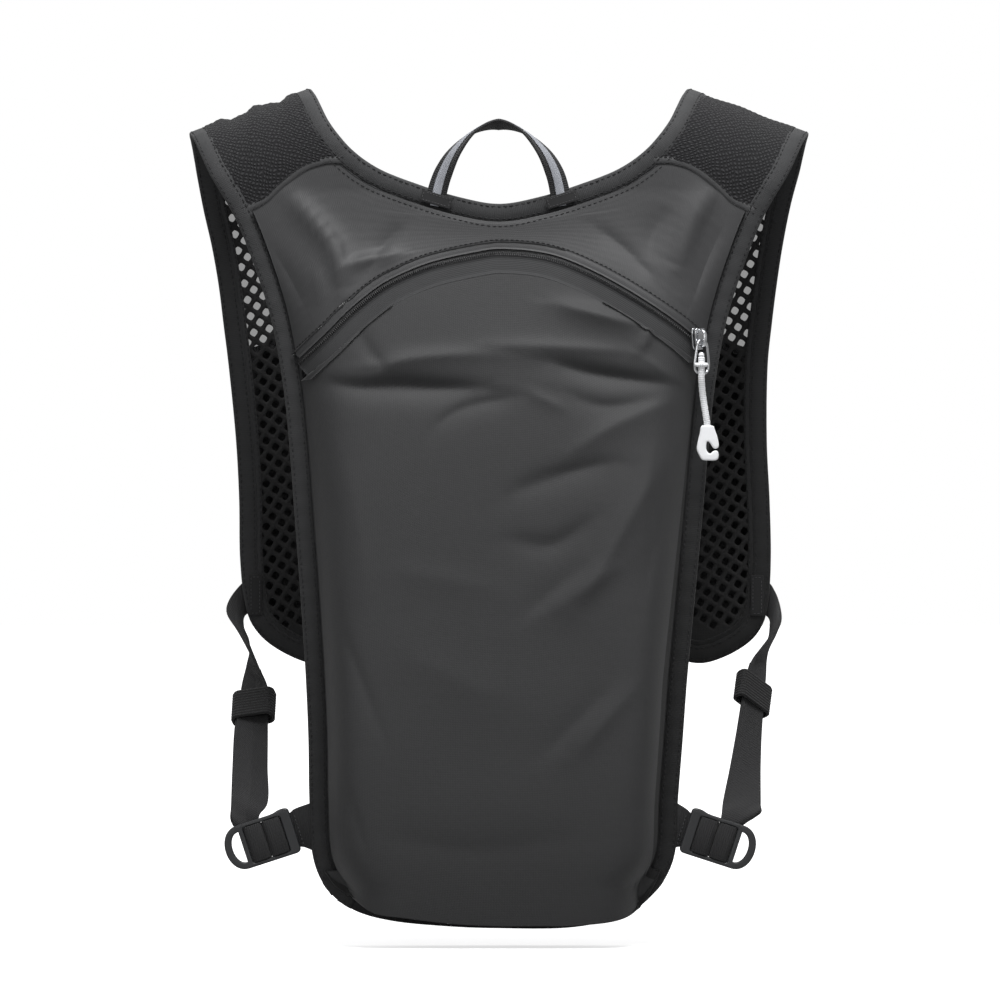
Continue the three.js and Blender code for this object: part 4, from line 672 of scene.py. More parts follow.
def cloth_material(name, color, pitch, strength=0.35, sheen=0.15, roughness=0.82, twill=False, spec=0.5):
    """Woven cloth: threads of a pitch in millimetres, over soft mottling."""
    n = Nodes(name)
    uv = n.place(1.0, uv=True, turn=0.6 if twill else 0.0)
    turns = 2 * math.pi / pitch / 20
    warp = n.wave(uv, turns, "X", distortion=0.6)
    weft = n.wave(uv, turns, "Y", distortion=0.6)
    weave = n.math("MULTIPLY", warp, weft)
    streaks = n.noise(n.place((26.0, 26.0, 420.0)), 1.0, 3.0)
    soft = n.math("ADD", n.math("MULTIPLY", n.noise(n.place(1.0), 26.0, 5.0), 0.6),
                  n.math("MULTIPLY", streaks, 0.4))
    fine = n.noise(n.place(1.0), 420.0, 3.0)
    tone = n.math("ADD", n.math("MULTIPLY", soft, 0.6), n.math("MULTIPLY", fine, 0.4))
    base = n.mix(n.ramp(tone, 0.3, 0.7), shade(color, 0.86), shade(color, 1.14))
    threads = n.mix(weave, shade(color, 0.88), shade(color, 1.06))
    fuzz = n.bump(fine, 0.25, 0.0003)
    normal = n.bump(weave, strength, 0.00025, fuzz)
    material = n.finish(n.blend(0.35, base, threads), roughness, normal, sheen=sheen)
    n.shader.inputs["Specular IOR Level"].default_value = spec
    return material


def ribbed_material(name, color, pitch, direction="Y", strength=0.6, fade=None, roughness=0.8):
    """Tape or webbing: ribs of a pitch across it, with the fine twist of its yarns."""
    n = Nodes(name)
    uv = n.place(1.0, uv=True)
    ribs = n.wave(uv, 2 * math.pi / pitch / 20, direction)
    yarns = n.wave(uv, 2 * math.pi / (pitch * 0.55) / 20, "X" if direction == "Y" else "Y")
    height = n.math("ADD", n.math("MULTIPLY", ribs, 0.7), n.math("MULTIPLY", yarns, 0.3))
    soft = n.noise(n.place(1.0), 60.0, 4.0)
    fine = n.noise(n.place(1.0), 700.0, 2.0)
    base = n.mix(height, shade(color, 0.68), shade(color, 1.16))
    mottled = n.mix(n.ramp(soft, 0.3, 0.7), shade(color, 0.85), shade(color, 1.15))
    normal = n.bump(height, strength, 0.0003, n.bump(fine, 0.2, 0.0002))
    tone = n.blend(0.4, base, mottled)
    # Where a fade is given, the tone darkens towards the bottom, below fade[1] in height, to fade[2] of the
    # colour at fade[0]: painted shade.
    if fade:
        parts = n.add("ShaderNodeSeparateXYZ", Vector=n.place(1.0))
        level = n.ramp(parts.outputs["Z"], fade[0], fade[1])
        tone = n.mix(level, shade(color, fade[2]), tone)
    return n.finish(tone, roughness, normal, sheen=0.12)


def dotted_material(name, color, light, pitch, turn=0.785, strength=0.9, roughness=0.95, uneven=0.0):
    """Knitted spacer mesh: small open eyelets between lighter knots."""
    n = Nodes(name)
    uv = n.place(1.0, uv=True, turn=turn)
    turns = 2 * math.pi / pitch / 20
    a = n.wave(uv, turns, "X", distortion=uneven)
    b = n.wave(uv, turns, "Y", distortion=uneven)
    knots = n.math("MULTIPLY", a, b)
    fine = n.noise(n.place(1.0), 900.0, 3.0)
    base = n.mix(n.ramp(knots, 0.1, 0.75), color, light)
    normal = n.bump(knots, strength, 0.0006, n.bump(fine, 0.3, 0.0003))
    return n.finish(base, roughness, normal, sheen=0.05)


def plain_material(name, color, roughness, grain=900.0, strength=0.15, metallic=0.0, coat=0.0, spread=0.06):
    """Moulded or cast material with a fine grain and slight wear."""
    n = Nodes(name)
    fine = n.noise(n.place(1.0), grain, 3.0)
    soft = n.noise(n.place(1.0), 40.0, 4.0)
    base = n.mix(n.ramp(soft, 0.3, 0.7), shade(color, 1 - spread), shade(color, 1 + spread))
    rough = n.math("ADD", n.math("MULTIPLY", soft, 0.16), roughness - 0.08)
    return n.finish(base, rough, n.bump(fine, strength, 0.0002), metallic=metallic, coat=coat)


FABRIC = cloth_material("pack_cloth", (0.036, 0.0363, 0.038), 0.9, strength=0.2, sheen=0.2, roughness=0.62)
# The pouch cloth is a darker copy of the pack cloth, 0.8 of its colour: painted shade.
SHADED_POUCH_FABRIC = cloth_material("pouch_cloth", (0.029, 0.0293, 0.0306), 0.9, strength=0.2, sheen=0.12,
                              roughness=0.7)
# Near-black copy of the pouch cloth for its side walls and underside: painted shade.
SHADED_SIDE_CLOTH = cloth_material("side_cloth_painted_shade", (0.012, 0.012, 0.0125), 0.9, strength=0.4, sheen=0.05)
POCKET = cloth_material("strap_cloth", (0.015, 0.015, 0.016), 1.2, strength=0.5, sheen=0.05)
PADDING = dotted_material("padding_mesh", (0.012, 0.012, 0.013), (0.045, 0.045, 0.047), 2.6)
AIR_MESH = dotted_material("air_mesh", (0.005, 0.005, 0.006), (0.028, 0.028, 0.030), 1.9, uneven=6.0)
# The edge tape darkens towards the bottom of the vest: painted shade.
TAPE = ribbed_material("edge_tape", (0.030, 0.0305, 0.032), 0.9, strength=0.3, fade=(-0.34, -0.1, 0.58))
DARK_TAPE = ribbed_material("dark_tape", (0.012, 0.012, 0.013), 0.9, strength=0.3)
NET = cloth_material("net_yarn", (0.010, 0.010, 0.0105), 0.8, strength=0.6, sheen=0.05)
WEB = ribbed_material("webbing", (0.017, 0.017, 0.0182), 1.1, strength=0.8)
ELASTIC = ribbed_material("elastic", (0.010, 0.010, 0.0107), 1.7, strength=1.0)
PLASTIC = plain_material("buckle_plastic", (0.022, 0.023, 0.025), 0.42, coat=0.05)
SHEER = cloth_material("sheer_liner", (0.03, 0.03, 0.032), 0.7, strength=0.3, sheen=0.0)
SHEER.node_tree.nodes["Principled BSDF"].inputs["Alpha"].default_value = 0.47
COIL = plain_material("coil", (0.012, 0.012, 0.013), 0.5)
STEEL = plain_material("steel", (0.72, 0.73, 0.75), 0.22, grain=300.0, strength=0.05, metallic=1.0)
CORD = ribbed_material("cord", (0.87, 0.88, 0.90), 1.0, strength=0.6)
RUBBER = plain_material("light_rubber", (0.88, 0.89, 0.91), 0.6, strength=0.1)
STRIPE = dotted_material("reflective", (0.28, 0.29, 0.32), (0.38, 0.395, 0.43), 0.9, strength=0.3,
                         roughness=0.5)
THREAD = plain_material("thread", (0.06, 0.06, 0.063), 0.8, grain=1500.0)
DARK_THREAD = plain_material("dark_thread", (0.012, 0.012, 0.013), 0.8, grain=1500.0)


# Folds of the pack cloth: lines of (across, down) points, each with a width as a share of
# HALF_WIDTH and a rise as a share of PACK_DEPTH; one flank of each is steeper than the other
POUCH_FOLDS = [
    ([(-0.45, 0.268), (-0.385, 0.308), (-0.366, 0.311), (-0.395, 0.318), (-0.557, 0.318)], 0.022, -0.05),
    ([(-0.59, 0.331), (-0.44, 0.338), (-0.337, 0.336), (-0.2, 0.339), (-0.04, 0.341)], 0.03, -0.16),
    ([(-0.56, 0.318), (-0.4, 0.316), (-0.3, 0.306), (-0.15, 0.3), (-0.01, 0.3)], 0.028, 0.08),
    ([(-0.21, 0.392), (-0.16, 0.374), (-0.1, 0.363), (0.067, 0.35)], 0.022, -0.05),
    ([(-0.06, 0.288), (0.15, 0.29), (0.42, 0.296)], 0.026, 0.06),
    ([(0.172, 0.237), (0.31, 0.25), (0.471, 0.267)], 0.032, 0.13),
    ([(0.475, 0.266), (0.47, 0.282), (0.446, 0.298)], 0.018, 0.07),
    ([(0.445, 0.3), (0.53, 0.322), (0.608, 0.34)], 0.022, 0.05),
    ([(0.159, 0.308), (0.28, 0.32), (0.42, 0.329), (0.573, 0.337)], 0.028, -0.14),
    ([(0.089, 0.344), (0.213, 0.367)], 0.016, 0.03),
    ([(0.411, 0.55), (0.28, 0.582), (0.15, 0.617)], 0.035, 0.05),
    ([(0.299, 0.55), (0.19, 0.582), (0.07, 0.62)], 0.03, -0.045),
    ([(0.452, 0.695), (0.344, 0.742), (0.236, 0.79)], 0.035, 0.05),
    ([(0.36, 0.7), (0.26, 0.74), (0.13, 0.79)], 0.03, -0.04),
    ([(-0.58, 0.432), (-0.55, 0.465), (-0.516, 0.499)], 0.014, -0.028),
    ([(-0.576, 0.565), (-0.47, 0.66), (-0.357, 0.771)], 0.018, -0.035),
    ([(-0.538, 0.774), (-0.5, 0.81), (-0.475, 0.842)], 0.015, -0.03),
    ([(-0.497, 0.814), (-0.455, 0.86), (-0.42, 0.905)], 0.017, -0.035),
    ([(-0.35, 0.56), (-0.2, 0.57), (0.0, 0.585)], 0.05, 0.025),
    ([(-0.4, 0.88), (-0.1, 0.9), (0.25, 0.885)], 0.06, -0.03),
    ([(0.5, 0.4), (0.47, 0.47), (0.46, 0.55)], 0.03, 0.03),
    ([(0.029, 0.47), (0.147, 0.451), (0.309, 0.434), (0.379, 0.431)], 0.032, -0.075),
    ([(0.022, 0.524), (0.166, 0.53), (0.309, 0.496)], 0.03, -0.06),
    ([(0.561, 0.408), (0.452, 0.476), (0.309, 0.572), (0.236, 0.613)], 0.045, 0.08),
    ([(0.596, 0.449), (0.487, 0.545), (0.452, 0.613)], 0.035, -0.05),
    ([(0.22, 0.421), (0.379, 0.383), (0.596, 0.349)], 0.03, 0.06),
    ([(0.2, 0.345), (0.33, 0.362), (0.52, 0.352)], 0.03, -0.06),
    ([(-0.5, 0.42), (-0.45, 0.5), (-0.42, 0.62)], 0.05, 0.03),
    ([(-0.3, 0.66), (-0.1, 0.7), (0.05, 0.72)], 0.07, 0.025),
]
YOKE_FOLDS = [
    ([(-0.678, 0.101), (-0.583, 0.139), (-0.532, 0.164), (-0.506, 0.191), (-0.497, 0.225)], 0.035, 0.17),
    ([(-0.5, 0.192), (-0.4, 0.182), (-0.312, 0.177)], 0.022, 0.09),
    ([(-0.736, 0.164), (-0.675, 0.2), (-0.615, 0.243)], 0.03, -0.1),
    ([(-0.6, 0.19), (-0.57, 0.215), (-0.56, 0.24)], 0.025, 0.05),
    ([(0.69, 0.094), (0.62, 0.14), (0.57, 0.195)], 0.035, 0.15),
    ([(0.72, 0.14), (0.66, 0.19), (0.61, 0.24)], 0.03, -0.1),
    ([(0.56, 0.12), (0.5, 0.15), (0.47, 0.19)], 0.03, -0.05),
    ([(-0.25, 0.13), (0.0, 0.142), (0.25, 0.13)], 0.05, 0.04),
    ([(0.3, 0.14), (0.4, 0.17), (0.5, 0.21)], 0.025, -0.05),
    ([(-0.3, 0.14), (-0.36, 0.165), (-0.42, 0.2)], 0.022, -0.05),
]
FOLD_CREASE = 1.3
rng = np.random.default_rng(7)
SMALL_WAVES = [
    (rng.uniform(0.03, 0.11), rng.uniform(0, 2 * math.pi), rng.uniform(0, 2 * math.pi), rng.uniform(0.3, 1.0))
    for _ in range(22)
]


def small_waves(x, z):
    """Quiet unevenness of hand-sewn cloth, in millimetres."""
    height = np.zeros_like(x)
    for rate, turn, start, size in SMALL_WAVES:
        height += size * np.sin(rate * (x * math.cos(turn) + z * math.sin(turn) * 1.3) + start)
    return height * 0.045


def away_from(line, x, z):
    """Distance to a polyline, signed by its side, and the share along it."""
    best = np.full(x.shape, 1e9)
    share = np.zeros_like(x)
    side = np.ones_like(x)
    lengths = lengths_of(line)
    for i in range(len(line) - 1):
        a, b = line[i], line[i + 1]
        d = b - a
        t = np.clip(((x - a[0]) * d[0] + (z - a[1]) * d[1]) / np.dot(d, d), 0, 1)
        gx, gz = x - (a[0] + d[0] * t), z - (a[1] + d[1] * t)
        far = np.hypot(gx, gz)
        closer = far < best
        best = np.where(closer, far, best)
        share = np.where(closer, (lengths[i] + t * (lengths[i + 1] - lengths[i])) / lengths[-1], share)
        side = np.where(closer, np.sign(d[0] * gz - d[1] * gx), side)
    return best, share, side


def fold_height(x, z, folds):
    height = np.zeros_like(x)
    for points, width, rise in folds:
        line = np.array([(a * HALF_WIDTH, -d * LENGTH) for a, d in points])
        if len(line) > 2:
            line = catmull([(p[0], 0.0, p[1]) for p in line], 4.0)[:, [0, 2]]
        away, share, side = away_from(line, x, z)
        fade = np.sin(math.pi * np.clip(share, 0.04, 0.96)) ** 0.6
        flank = np.where(side > 0, 0.75, 1.35)
        height += rise * fade * np.exp(-(away / (width * HALF_WIDTH) / flank) ** FOLD_CREASE)
    return height


def arm_x(side, z):
    return x_at(side.arm, 2, z)


PACK_BASE = -HALF_DEPTH - PANEL_THICKNESS / 2 - GAP


def pack_heights(points, folds):
    """How far the pack stands off the panel at each place of a grid."""
    x, z = points[..., 0], points[..., 2]
    levels = np.linspace(-LENGTH, -0.05 * LENGTH, 240)
    lefts = np.array([arm_x(sides["left"], v) for v in levels])
    rights = np.array([arm_x(sides["right"], v) for v in levels])
    depths = np.array([value_at(PACK_PROFILE, 0, 1, max(0.1, -v / LENGTH)) for v in levels])
    squares = np.array([value_at(PACK_PROFILE, 0, 2, max(0.1, -v / LENGTH)) for v in levels])
    left, right = np.interp(z, levels, lefts), np.interp(z, levels, rights)
    depth, square = np.interp(z, levels, depths), np.interp(z, levels, squares)
    side = np.clip(np.abs((2 * x - left - right) / (right - left)), 0, 1)
    fold = fold_height(x, z, folds) * np.clip(1 - side ** 6, 0, 1)
    waves = small_waves(x, z) * np.clip(1 - side ** 8, 0, 1) * np.clip(depth * 3, 0, 1)
    return np.maximum(0, PACK_DEPTH * (depth * (1 - side ** square) + fold) + waves)


def on_pack(points, lift, folds=()):
    """Points of the flat plan raised onto the pack's face, and lifted off it."""
    points = np.asarray(points, float)
    step = 0.5
    height = pack_heights(points, folds)

    def slope(move):
        move = np.array(move)
        return (pack_heights(points + move, folds) - pack_heights(points - move, folds)) / 2 / step

    slope_x = slope([step, 0, 0])
    slope_z = slope([0, 0, step])
    out = np.stack([-slope_x, -np.ones_like(height), -slope_z], axis=-1)
    out /= np.linalg.norm(out, axis=-1, keepdims=True)
    base = np.stack([points[..., 0], PACK_BASE - height, points[..., 2]], axis=-1)
    raised = base + out * (np.asarray(lift)[..., None] if hasattr(lift, "__len__") else lift)
    raised[..., 1] = np.minimum(raised[..., 1], PACK_BASE)
    return raised, out


def flat_back(line):
    line = np.array(line, float)
    line[:, 1] = -HALF_DEPTH
    return line


def patch(top, bottom, left, right, across, down):
    """Straight mix of four side lines."""
    tops = np.array([at_share(top, u) for u in across])
    bottoms = np.array([at_share(bottom, u) for u in across])
    lefts = np.array([at_share(left, v) for v in down])
    rights = np.array([at_share(right, v) for v in down])
    u = np.asarray(across)[None, :, None]
    v = np.asarray(down)[:, None, None]
    corners = (tops[0] * (1 - u) * (1 - v) + tops[-1] * u * (1 - v)
               + bottoms[0] * (1 - u) * v + bottoms[-1] * u * v)
    return lefts[:, None] * (1 - u) + rights[:, None] * u + tops[None] * (1 - v) + bottoms[None] * v - corners


def top_of_cloth(x, drop):
    seam = seam_height(x) - SEAM_WIDTH / 2 - drop
    neck = stretch_of(cloth_edge, neck_crests["left"], neck_crests["right"])
    back = neck[neck[:, 1] < 0]
    if abs(x) > abs(back[0][0]):
        return seam
    order = np.argsort(back[:, 0])
    return min(seam, np.interp(x, back[order, 0], back[order, 2]))


def arm_corner(side, drop):
    places = side.arm
    away = [abs(p[2] - (seam_height(p[0]) - SEAM_WIDTH / 2 - drop)) for p in places]
    return places[int(np.argmin(away)), 0]


corner_left, corner_right = arm_corner(sides["left"], 0.2), arm_corner(sides["right"], 0.2)
cloth_top = np.array([(x, -HALF_DEPTH, top_of_cloth(x, 0.2))
                      for x in np.linspace(corner_left, corner_right, 161)])


def arm_side(side, start, end):
    inside = [(p[0], -HALF_DEPTH, p[2]) for p in side.arm if end[2] + 0.3 < p[2] < start[2] - 0.3]
    inside.sort(key=lambda p: -p[2])
    return np.array([tuple(start)] + inside + [tuple(end)])


zip_line = flat_back(sheet_line([back_place(a, d) for a, d in ZIP_ARCH], 2.0))


def zip_at(distance, line=None):
    line = zip_line if line is None else line
    return flat_back(shifted(line, distance))


def graded(count, edge=0.06, share=0.22):
    """Shares from 0 to 1, closer together near both ends."""
    t = np.linspace(0, 1, count)
    ends = np.interp(t, [0, share, 1 - share, 1], [0, edge, 1 - edge, 1])
    return ends


# Yoke: outer cloth from the neckline and the shoulder seams down to the zip
CHAIN_SIDE = 1.3
UPPER_TAPE = 5.7
LOWER_TAPE = 10.7
yoke_bottom = zip_at(-UPPER_TAPE + 0.4)
yoke_columns = graded(141)
yoke_rows = np.linspace(0, 1, 71)
yoke_plan = patch(
    cloth_top, yoke_bottom,
    arm_side(sides["left"], cloth_top[0], yoke_bottom[0]),
    arm_side(sides["right"], cloth_top[-1], yoke_bottom[-1]),
    yoke_columns, yoke_rows,
)
yoke_grid, yoke_out = on_pack(yoke_plan, 1.2, YOKE_FOLDS)


def behind_limit(points):
    points = points.copy()
    points[..., 1] = np.minimum(points[..., 1], PACK_BASE + 0.2)
    return points


yoke = slab("yoke_cloth", yoke_grid, 1.0, [FABRIC], yoke_out, keep=behind_limit)
finish_piece(yoke, "pack_cloth", "yoke")

# Pouch: a front, with sides and a bottom in a darker copy of its cloth: painted shade
pouch_top = zip_at(LOWER_TAPE - 0.2)
pouch_bottom = flat_back(sheet_line([back_place(a, d) for a, d in POUCH_BOTTOM], 2.0))
pouch_columns = np.concatenate([
    [0, 0.004, 0.01, 0.018, 0.028, 0.04, 0.052, 0.066], np.linspace(0.08, 0.92, 97),
    [0.934, 0.948, 0.96, 0.972, 0.982, 0.99, 0.996, 1],
])
pouch_rows = np.concatenate([np.linspace(0, 0.3, 61), np.linspace(0.3, 0.94, 81)[1:],
                             [0.952, 0.964, 0.974, 0.983, 0.991, 0.996, 1]])
pouch_plan = patch(
    pouch_top, pouch_bottom,
    arm_side(sides["left"], pouch_top[0], pouch_bottom[0]),
    arm_side(sides["right"], pouch_top[-1], pouch_bottom[-1]),
    pouch_columns, pouch_rows,
)


def moved_seam(plan):
    """The side seam's column follows the photographed seam: wider below."""
    moved = plan.copy()
    for i, level in enumerate(pouch_rows):
        width = 0.004 + 0.03 * min(1.0, max(0.0, (level - 0.12) / 0.5)) ** 1.2
        shares_now = np.interp(pouch_columns, [0, 0.9, RIGHT_SEAM, 1], [0, 0.9, 1 - width, 1])
        for c in range(3):
            moved[i, :, c] = np.interp(shares_now, pouch_columns, plan[i, :, c])
    return moved


RIGHT_SEAM = 0.966
pouch_plan = moved_seam(pouch_plan)
pouch_height = pack_heights(pouch_plan, POUCH_FOLDS)
pouch_front = np.stack([pouch_plan[..., 0], PACK_BASE - 1.0 - pouch_height, pouch_plan[..., 2]], axis=-1)
foot = pouch_front[-1]
columns = pouch_columns
rows_below = []
for share in (0.06, 0.2, 0.4, 0.65, 0.85, 1.0):
    rise = 7.0 * (1 - np.abs(2 * columns - 1) ** 4) * share
    y = foot[:, 1] + (PACK_BASE - 0.6 - foot[:, 1]) * share
    rows_below.append(np.stack([foot[:, 0], y, foot[:, 2] + rise], axis=-1))
pouch_grid = np.concatenate([pouch_front, np.array(rows_below)])
outward = np.tile(np.array([0, -1.0, 0]), (len(pouch_grid), len(columns), 1))
outward[len(pouch_front):] = (0, -0.3, -1)
pouch = slab("pouch_cloth", pouch_grid, 1.0, [SHADED_POUCH_FABRIC, SHADED_SIDE_CLOTH], outward, keep=behind_limit)

# Past the side seam and under the foot the pouch takes a near-black copy of its cloth: painted shade
quads_down, quads_across = len(pouch_grid) - 1, len(columns) - 1
indices = np.zeros(len(pouch.data.polygons), dtype=np.int32)
centres = (columns[:-1] + columns[1:]) / 2
dark = np.tile(centres > RIGHT_SEAM, (quads_down, 1))
dark[len(pouch_rows) - 1:] = True
for copy in range(2):
    indices[copy * quads_down * quads_across:(copy + 1) * quads_down * quads_across] = dark.ravel()
pouch.data.polygons.foreach_set("material_index", indices)
finish_piece(pouch, "pack_cloth", "pouch")


# Stitches on the pack's face
def pack_stitches(name, plan_line, lift, folds, material, pitch=2.6, **sizes):
    points, outs = on_pack(np.array(plan_line), lift, folds)
    return dashes(name, points, outs, material, pitch=pitch, **sizes)


seam_above = zip_at(-UPPER_TAPE - 0.4)
finish_piece(pack_stitches("zip_seam_stitches", seam_above, 1.25, YOKE_FOLDS, DARK_THREAD), "edge_tape")


def within_cloth(line, inset=0.4):
    """Part of a line across the pack that lies between the cloth's two sides."""
    left = np.array([arm_x(sides["left"], z) for z in line[:, 2]]) + inset
    right = np.array([arm_x(sides["right"], z) for z in line[:, 2]]) - inset
    inside = (line[:, 0] > left) & (line[:, 0] < right)
    return line[inside]


def pack_strip(name, near, far, low, high, material, steps=5, folds=(), bulge=0.0, step=1.6):
    """Strip along the zip between two distances from it, standing from low to high."""
    line = resample(zip_line, step)
    shares = np.linspace(0, 1, steps)
    rows = [within_cloth(flat_back(shifted(line, near + (far - near) * s))) for s in shares]
    rows = [np.array([at_share(row, t) for t in np.linspace(0, 1, len(line))]) for row in rows]
    lifts = [high + bulge * math.sin(math.pi * s) for s in shares]
    top, out = zip(*(on_pack(r, h, folds) for r, h in zip(rows, lifts)))
    return slab(name, np.array(top), high - low, [material], np.array(out))


flap = pack_strip("zip_flap", -UPPER_TAPE - 0.2, -CHAIN_SIDE - 0.1, 0.2, 1.35, FABRIC, folds=YOKE_FOLDS,
                  bulge=0.35)
finish_piece(flap, "edge_tape", "zip_tape_upper")
lower = pack_strip("zip_tape", CHAIN_SIDE + 0.2, LOWER_TAPE + 0.4, 0.1, 0.9, TAPE)
finish_piece(lower, "edge_tape", "zip_tape_lower")


# Coil: a row of small teeth on a strip, next to the dark gap under the flap. A tooth's sections
# have their place across the coil, half width and height
COIL_TOOTH = [(-0.2, 0.3, 0.2), (-0.1, 0.36, 0.75), (0.9, 0.36, 1.05), (2.1, 0.33, 0.75), (2.3, 0.25, 0.1)]


def zip_coil():
    # The bed under the flap is as dark as the coil: the zip's own dark chain, and painted shade of the slit
    # under the flap.
    strip = pack_strip("zip_bed", -CHAIN_SIDE, CHAIN_SIDE + 0.3, 0.0, 0.5, COIL)
    line = resample(zip_line, 1.05)
    frames = frames_of(line)
    near, outs = on_pack(line, 0.6, ())
    verts, faces = [], []
    for i in range(1, len(line) - 1):
        across = -frames[i][1]
        along = unit(near[i + 1] - near[i - 1])
        across = unit(across - along * np.dot(across, along))
        out = outs[i]
        base = len(verts)
        for a, w, h in COIL_TOOTH:
            c = near[i] - across * a
            wide = along * w
            verts += [c - wide, c - wide * 0.7 + out * h, c + wide * 0.7 + out * h, c + wide]
        for s in range(4):
            for j in range(3):
                a = base + s * 4 + j
                faces.append((a, a + 1, a + 5, a + 4))
        faces.append((base + 3, base + 2, base + 1, base))
        faces.append((base + 16, base + 17, base + 18, base + 19))
    teeth = new_object("teeth", verts, faces, [COIL])
    make_consistent(teeth)
    return joined("zip_coil", strip, teeth)


finish_piece(zip_coil(), "zip_coil", "zip_chain")

# Edge tapes with their stitches
# The right edge tape is a darker copy of the edge tape and darkens further towards the bottom: painted shade.
SHADED_RIGHT_TAPE = ribbed_material("edge_tape_right", (0.026, 0.0265, 0.028), 0.9, strength=0.3,
                             fade=(-0.24, -0.13, 0.3))


def pucker_of(seed):
    """Slight waviness of a tape that is sewn by hand."""
    def pucker(length):
        return 0.12 * math.sin(length * 0.55 + seed) + 0.08 * math.sin(length * 1.3 + 2 * seed)
    return pucker


def binding(name, start, end, material, node):
    line = resample(np.array(stretch_of(edge_inside(BINDING_WIDTH / 2), start + 0.4, end - 0.4)), 2.2)
    pucker = pucker_of(len(name))
    tape = tape_along(name, line, BINDING_WIDTH, BINDING_THICKNESS, [material], edge=0.9, crown=0.05,
                      wave=pucker)
    finish_piece(tape, "edge_tape", node)
    strip_line = resample(np.array(stretch_of(edge_inside(BINDING_WIDTH + 0.6), start + 2, end - 2)), 2.2)
    strip = tape_along(name + "_inner", strip_line, 3.4, 2.2, [material], edge=0.6, crown=0.05)
    finish_piece(strip, "edge_tape")
    for distance, rise in ((BINDING_WIDTH - 1.7, 1.55), (1.5, 1.5), (BINDING_WIDTH + 1.5, 1.12)):
        inner = resample(np.array(stretch_of(edge_inside(distance), start + 2, end - 2)), 1.2)
        for face, label in ((1, "out"), (-1, "in")):
            directions = [f[2] * face for f in frames_of(inner)]
            raised = np.array([p + d * rise for p, d in zip(inner, directions)])
            stitches = dashes("%s_stitches_%d_%s" % (name, distance, label), raised, directions, DARK_THREAD,
                              pitch=3.0, share=0.62, width=0.6, height=0.32, sink=0.2)
            finish_piece(stitches, "edge_tape")


binding("arm_tape_left", 0, strap_joints["left"], TAPE, "arm_binding_left")
binding("neck_tape", strap_joints["left"], strap_joints["right"], TAPE, "neck_binding")
binding("arm_tape_right", strap_joints["right"], hem_joint, SHADED_RIGHT_TAPE, "arm_binding_right")
# The hem tape takes the dark tape, darker than the side tapes: painted shade on the underside of the pack.
binding("hem_tape", hem_joint, edge_total, DARK_TAPE, "bottom_binding")


# Folded pieces of tape over the lower corners and the strap ends, where the tapes meet
def corner_piece(name, before, after, material):
    middle = edge_inside(BINDING_WIDTH / 2)
    line = np.concatenate([np.array(stretch_of(middle, *before)), np.array(stretch_of(middle, *after))])
    line = catmull(np.array([line[0], line[len(line) // 4], line[-len(line) // 4], line[-1]]), 1.5)
    line = np.array([on_sheet(p) for p in line])
    piece = tape_along(name, line, BINDING_WIDTH + 0.3, BINDING_THICKNESS + 0.5, [material], edge=0.9,
                       crown=0.05)
    finish_piece(piece, "edge_tape")


corner_piece("corner_left", (edge_total - 11, edge_total - 0.5), (0.5, 11), TAPE)
corner_piece("corner_right", (hem_joint - 11, hem_joint - 0.5), (hem_joint + 0.5, hem_joint + 11), SHADED_RIGHT_TAPE)
for name, place in strap_joints.items():
    corner_piece("strap_end_" + name, (place - 12, place - 0.5), (place + 0.5, place + 12), TAPE)

# Second row of stitches just inside the neck tape, on the yoke
top_margin = 2.2


def inner_row(name, start, end, below):
    line = resample(np.array(stretch_of(edge_inside(BINDING_WIDTH + top_margin), start, end)), 1.2)
    line = line[line[:, 1] < -HALF_DEPTH + 1.0]
    line = line[line[:, 2] < below]
    if len(line) > 3:
        points, outs = on_pack(flat_back(line), 1.25, YOKE_FOLDS)
        finish_piece(dashes(name, points, outs, DARK_THREAD, pitch=2.9, width=0.45, height=0.3), "edge_tape")


inner_row("neck_row", neck_crests["left"], neck_crests["right"], -22.0)

# Seam bands between yoke and shoulder mesh
for side in sides.values():
    line = seam_line(side)
    reach = 5.0
    line = np.concatenate([[on_sheet(line[0] + unit(line[0] - line[3]) * reach)], line,
                           [on_sheet(line[-1] + unit(line[-1] - line[-4]) * reach)]])
    line = resample(line, 1.6)
    band = tape_along("seam_band_" + side.name, line, SEAM_WIDTH + 1.4, 2.9, [FABRIC], edge=0.8, crown=0.05)
    finish_piece(band, "pack_cloth", "shoulder_seam_" + side.name)
    for distance, label in ((1.5, "upper"), (-1.5, "lower")):
        row = shifted(line, distance)
        directions = [f[2] for f in frames_of(row)]
        raised = np.array([p + d * 1.45 for p, d in zip(row, directions)])
        finish_piece(dashes("seam_stitches_%s_%s" % (label, side.name), raised, directions, DARK_THREAD,
                            pitch=2.4, width=0.45, height=0.3), "pack_cloth")


# Knitted mesh over each shoulder
MESH_FRONT = 47.0


def shoulder_wave(side, x, run):
    if side.sign > 0:
        return 0.35 * math.sin(x * 0.22) * math.exp(-(run / 26) ** 2)
    return (1.1 * math.sin(x * 0.3 + 0.6) + 0.4 * math.sin(x * 0.75)) * math.exp(-(run / 24) ** 2)


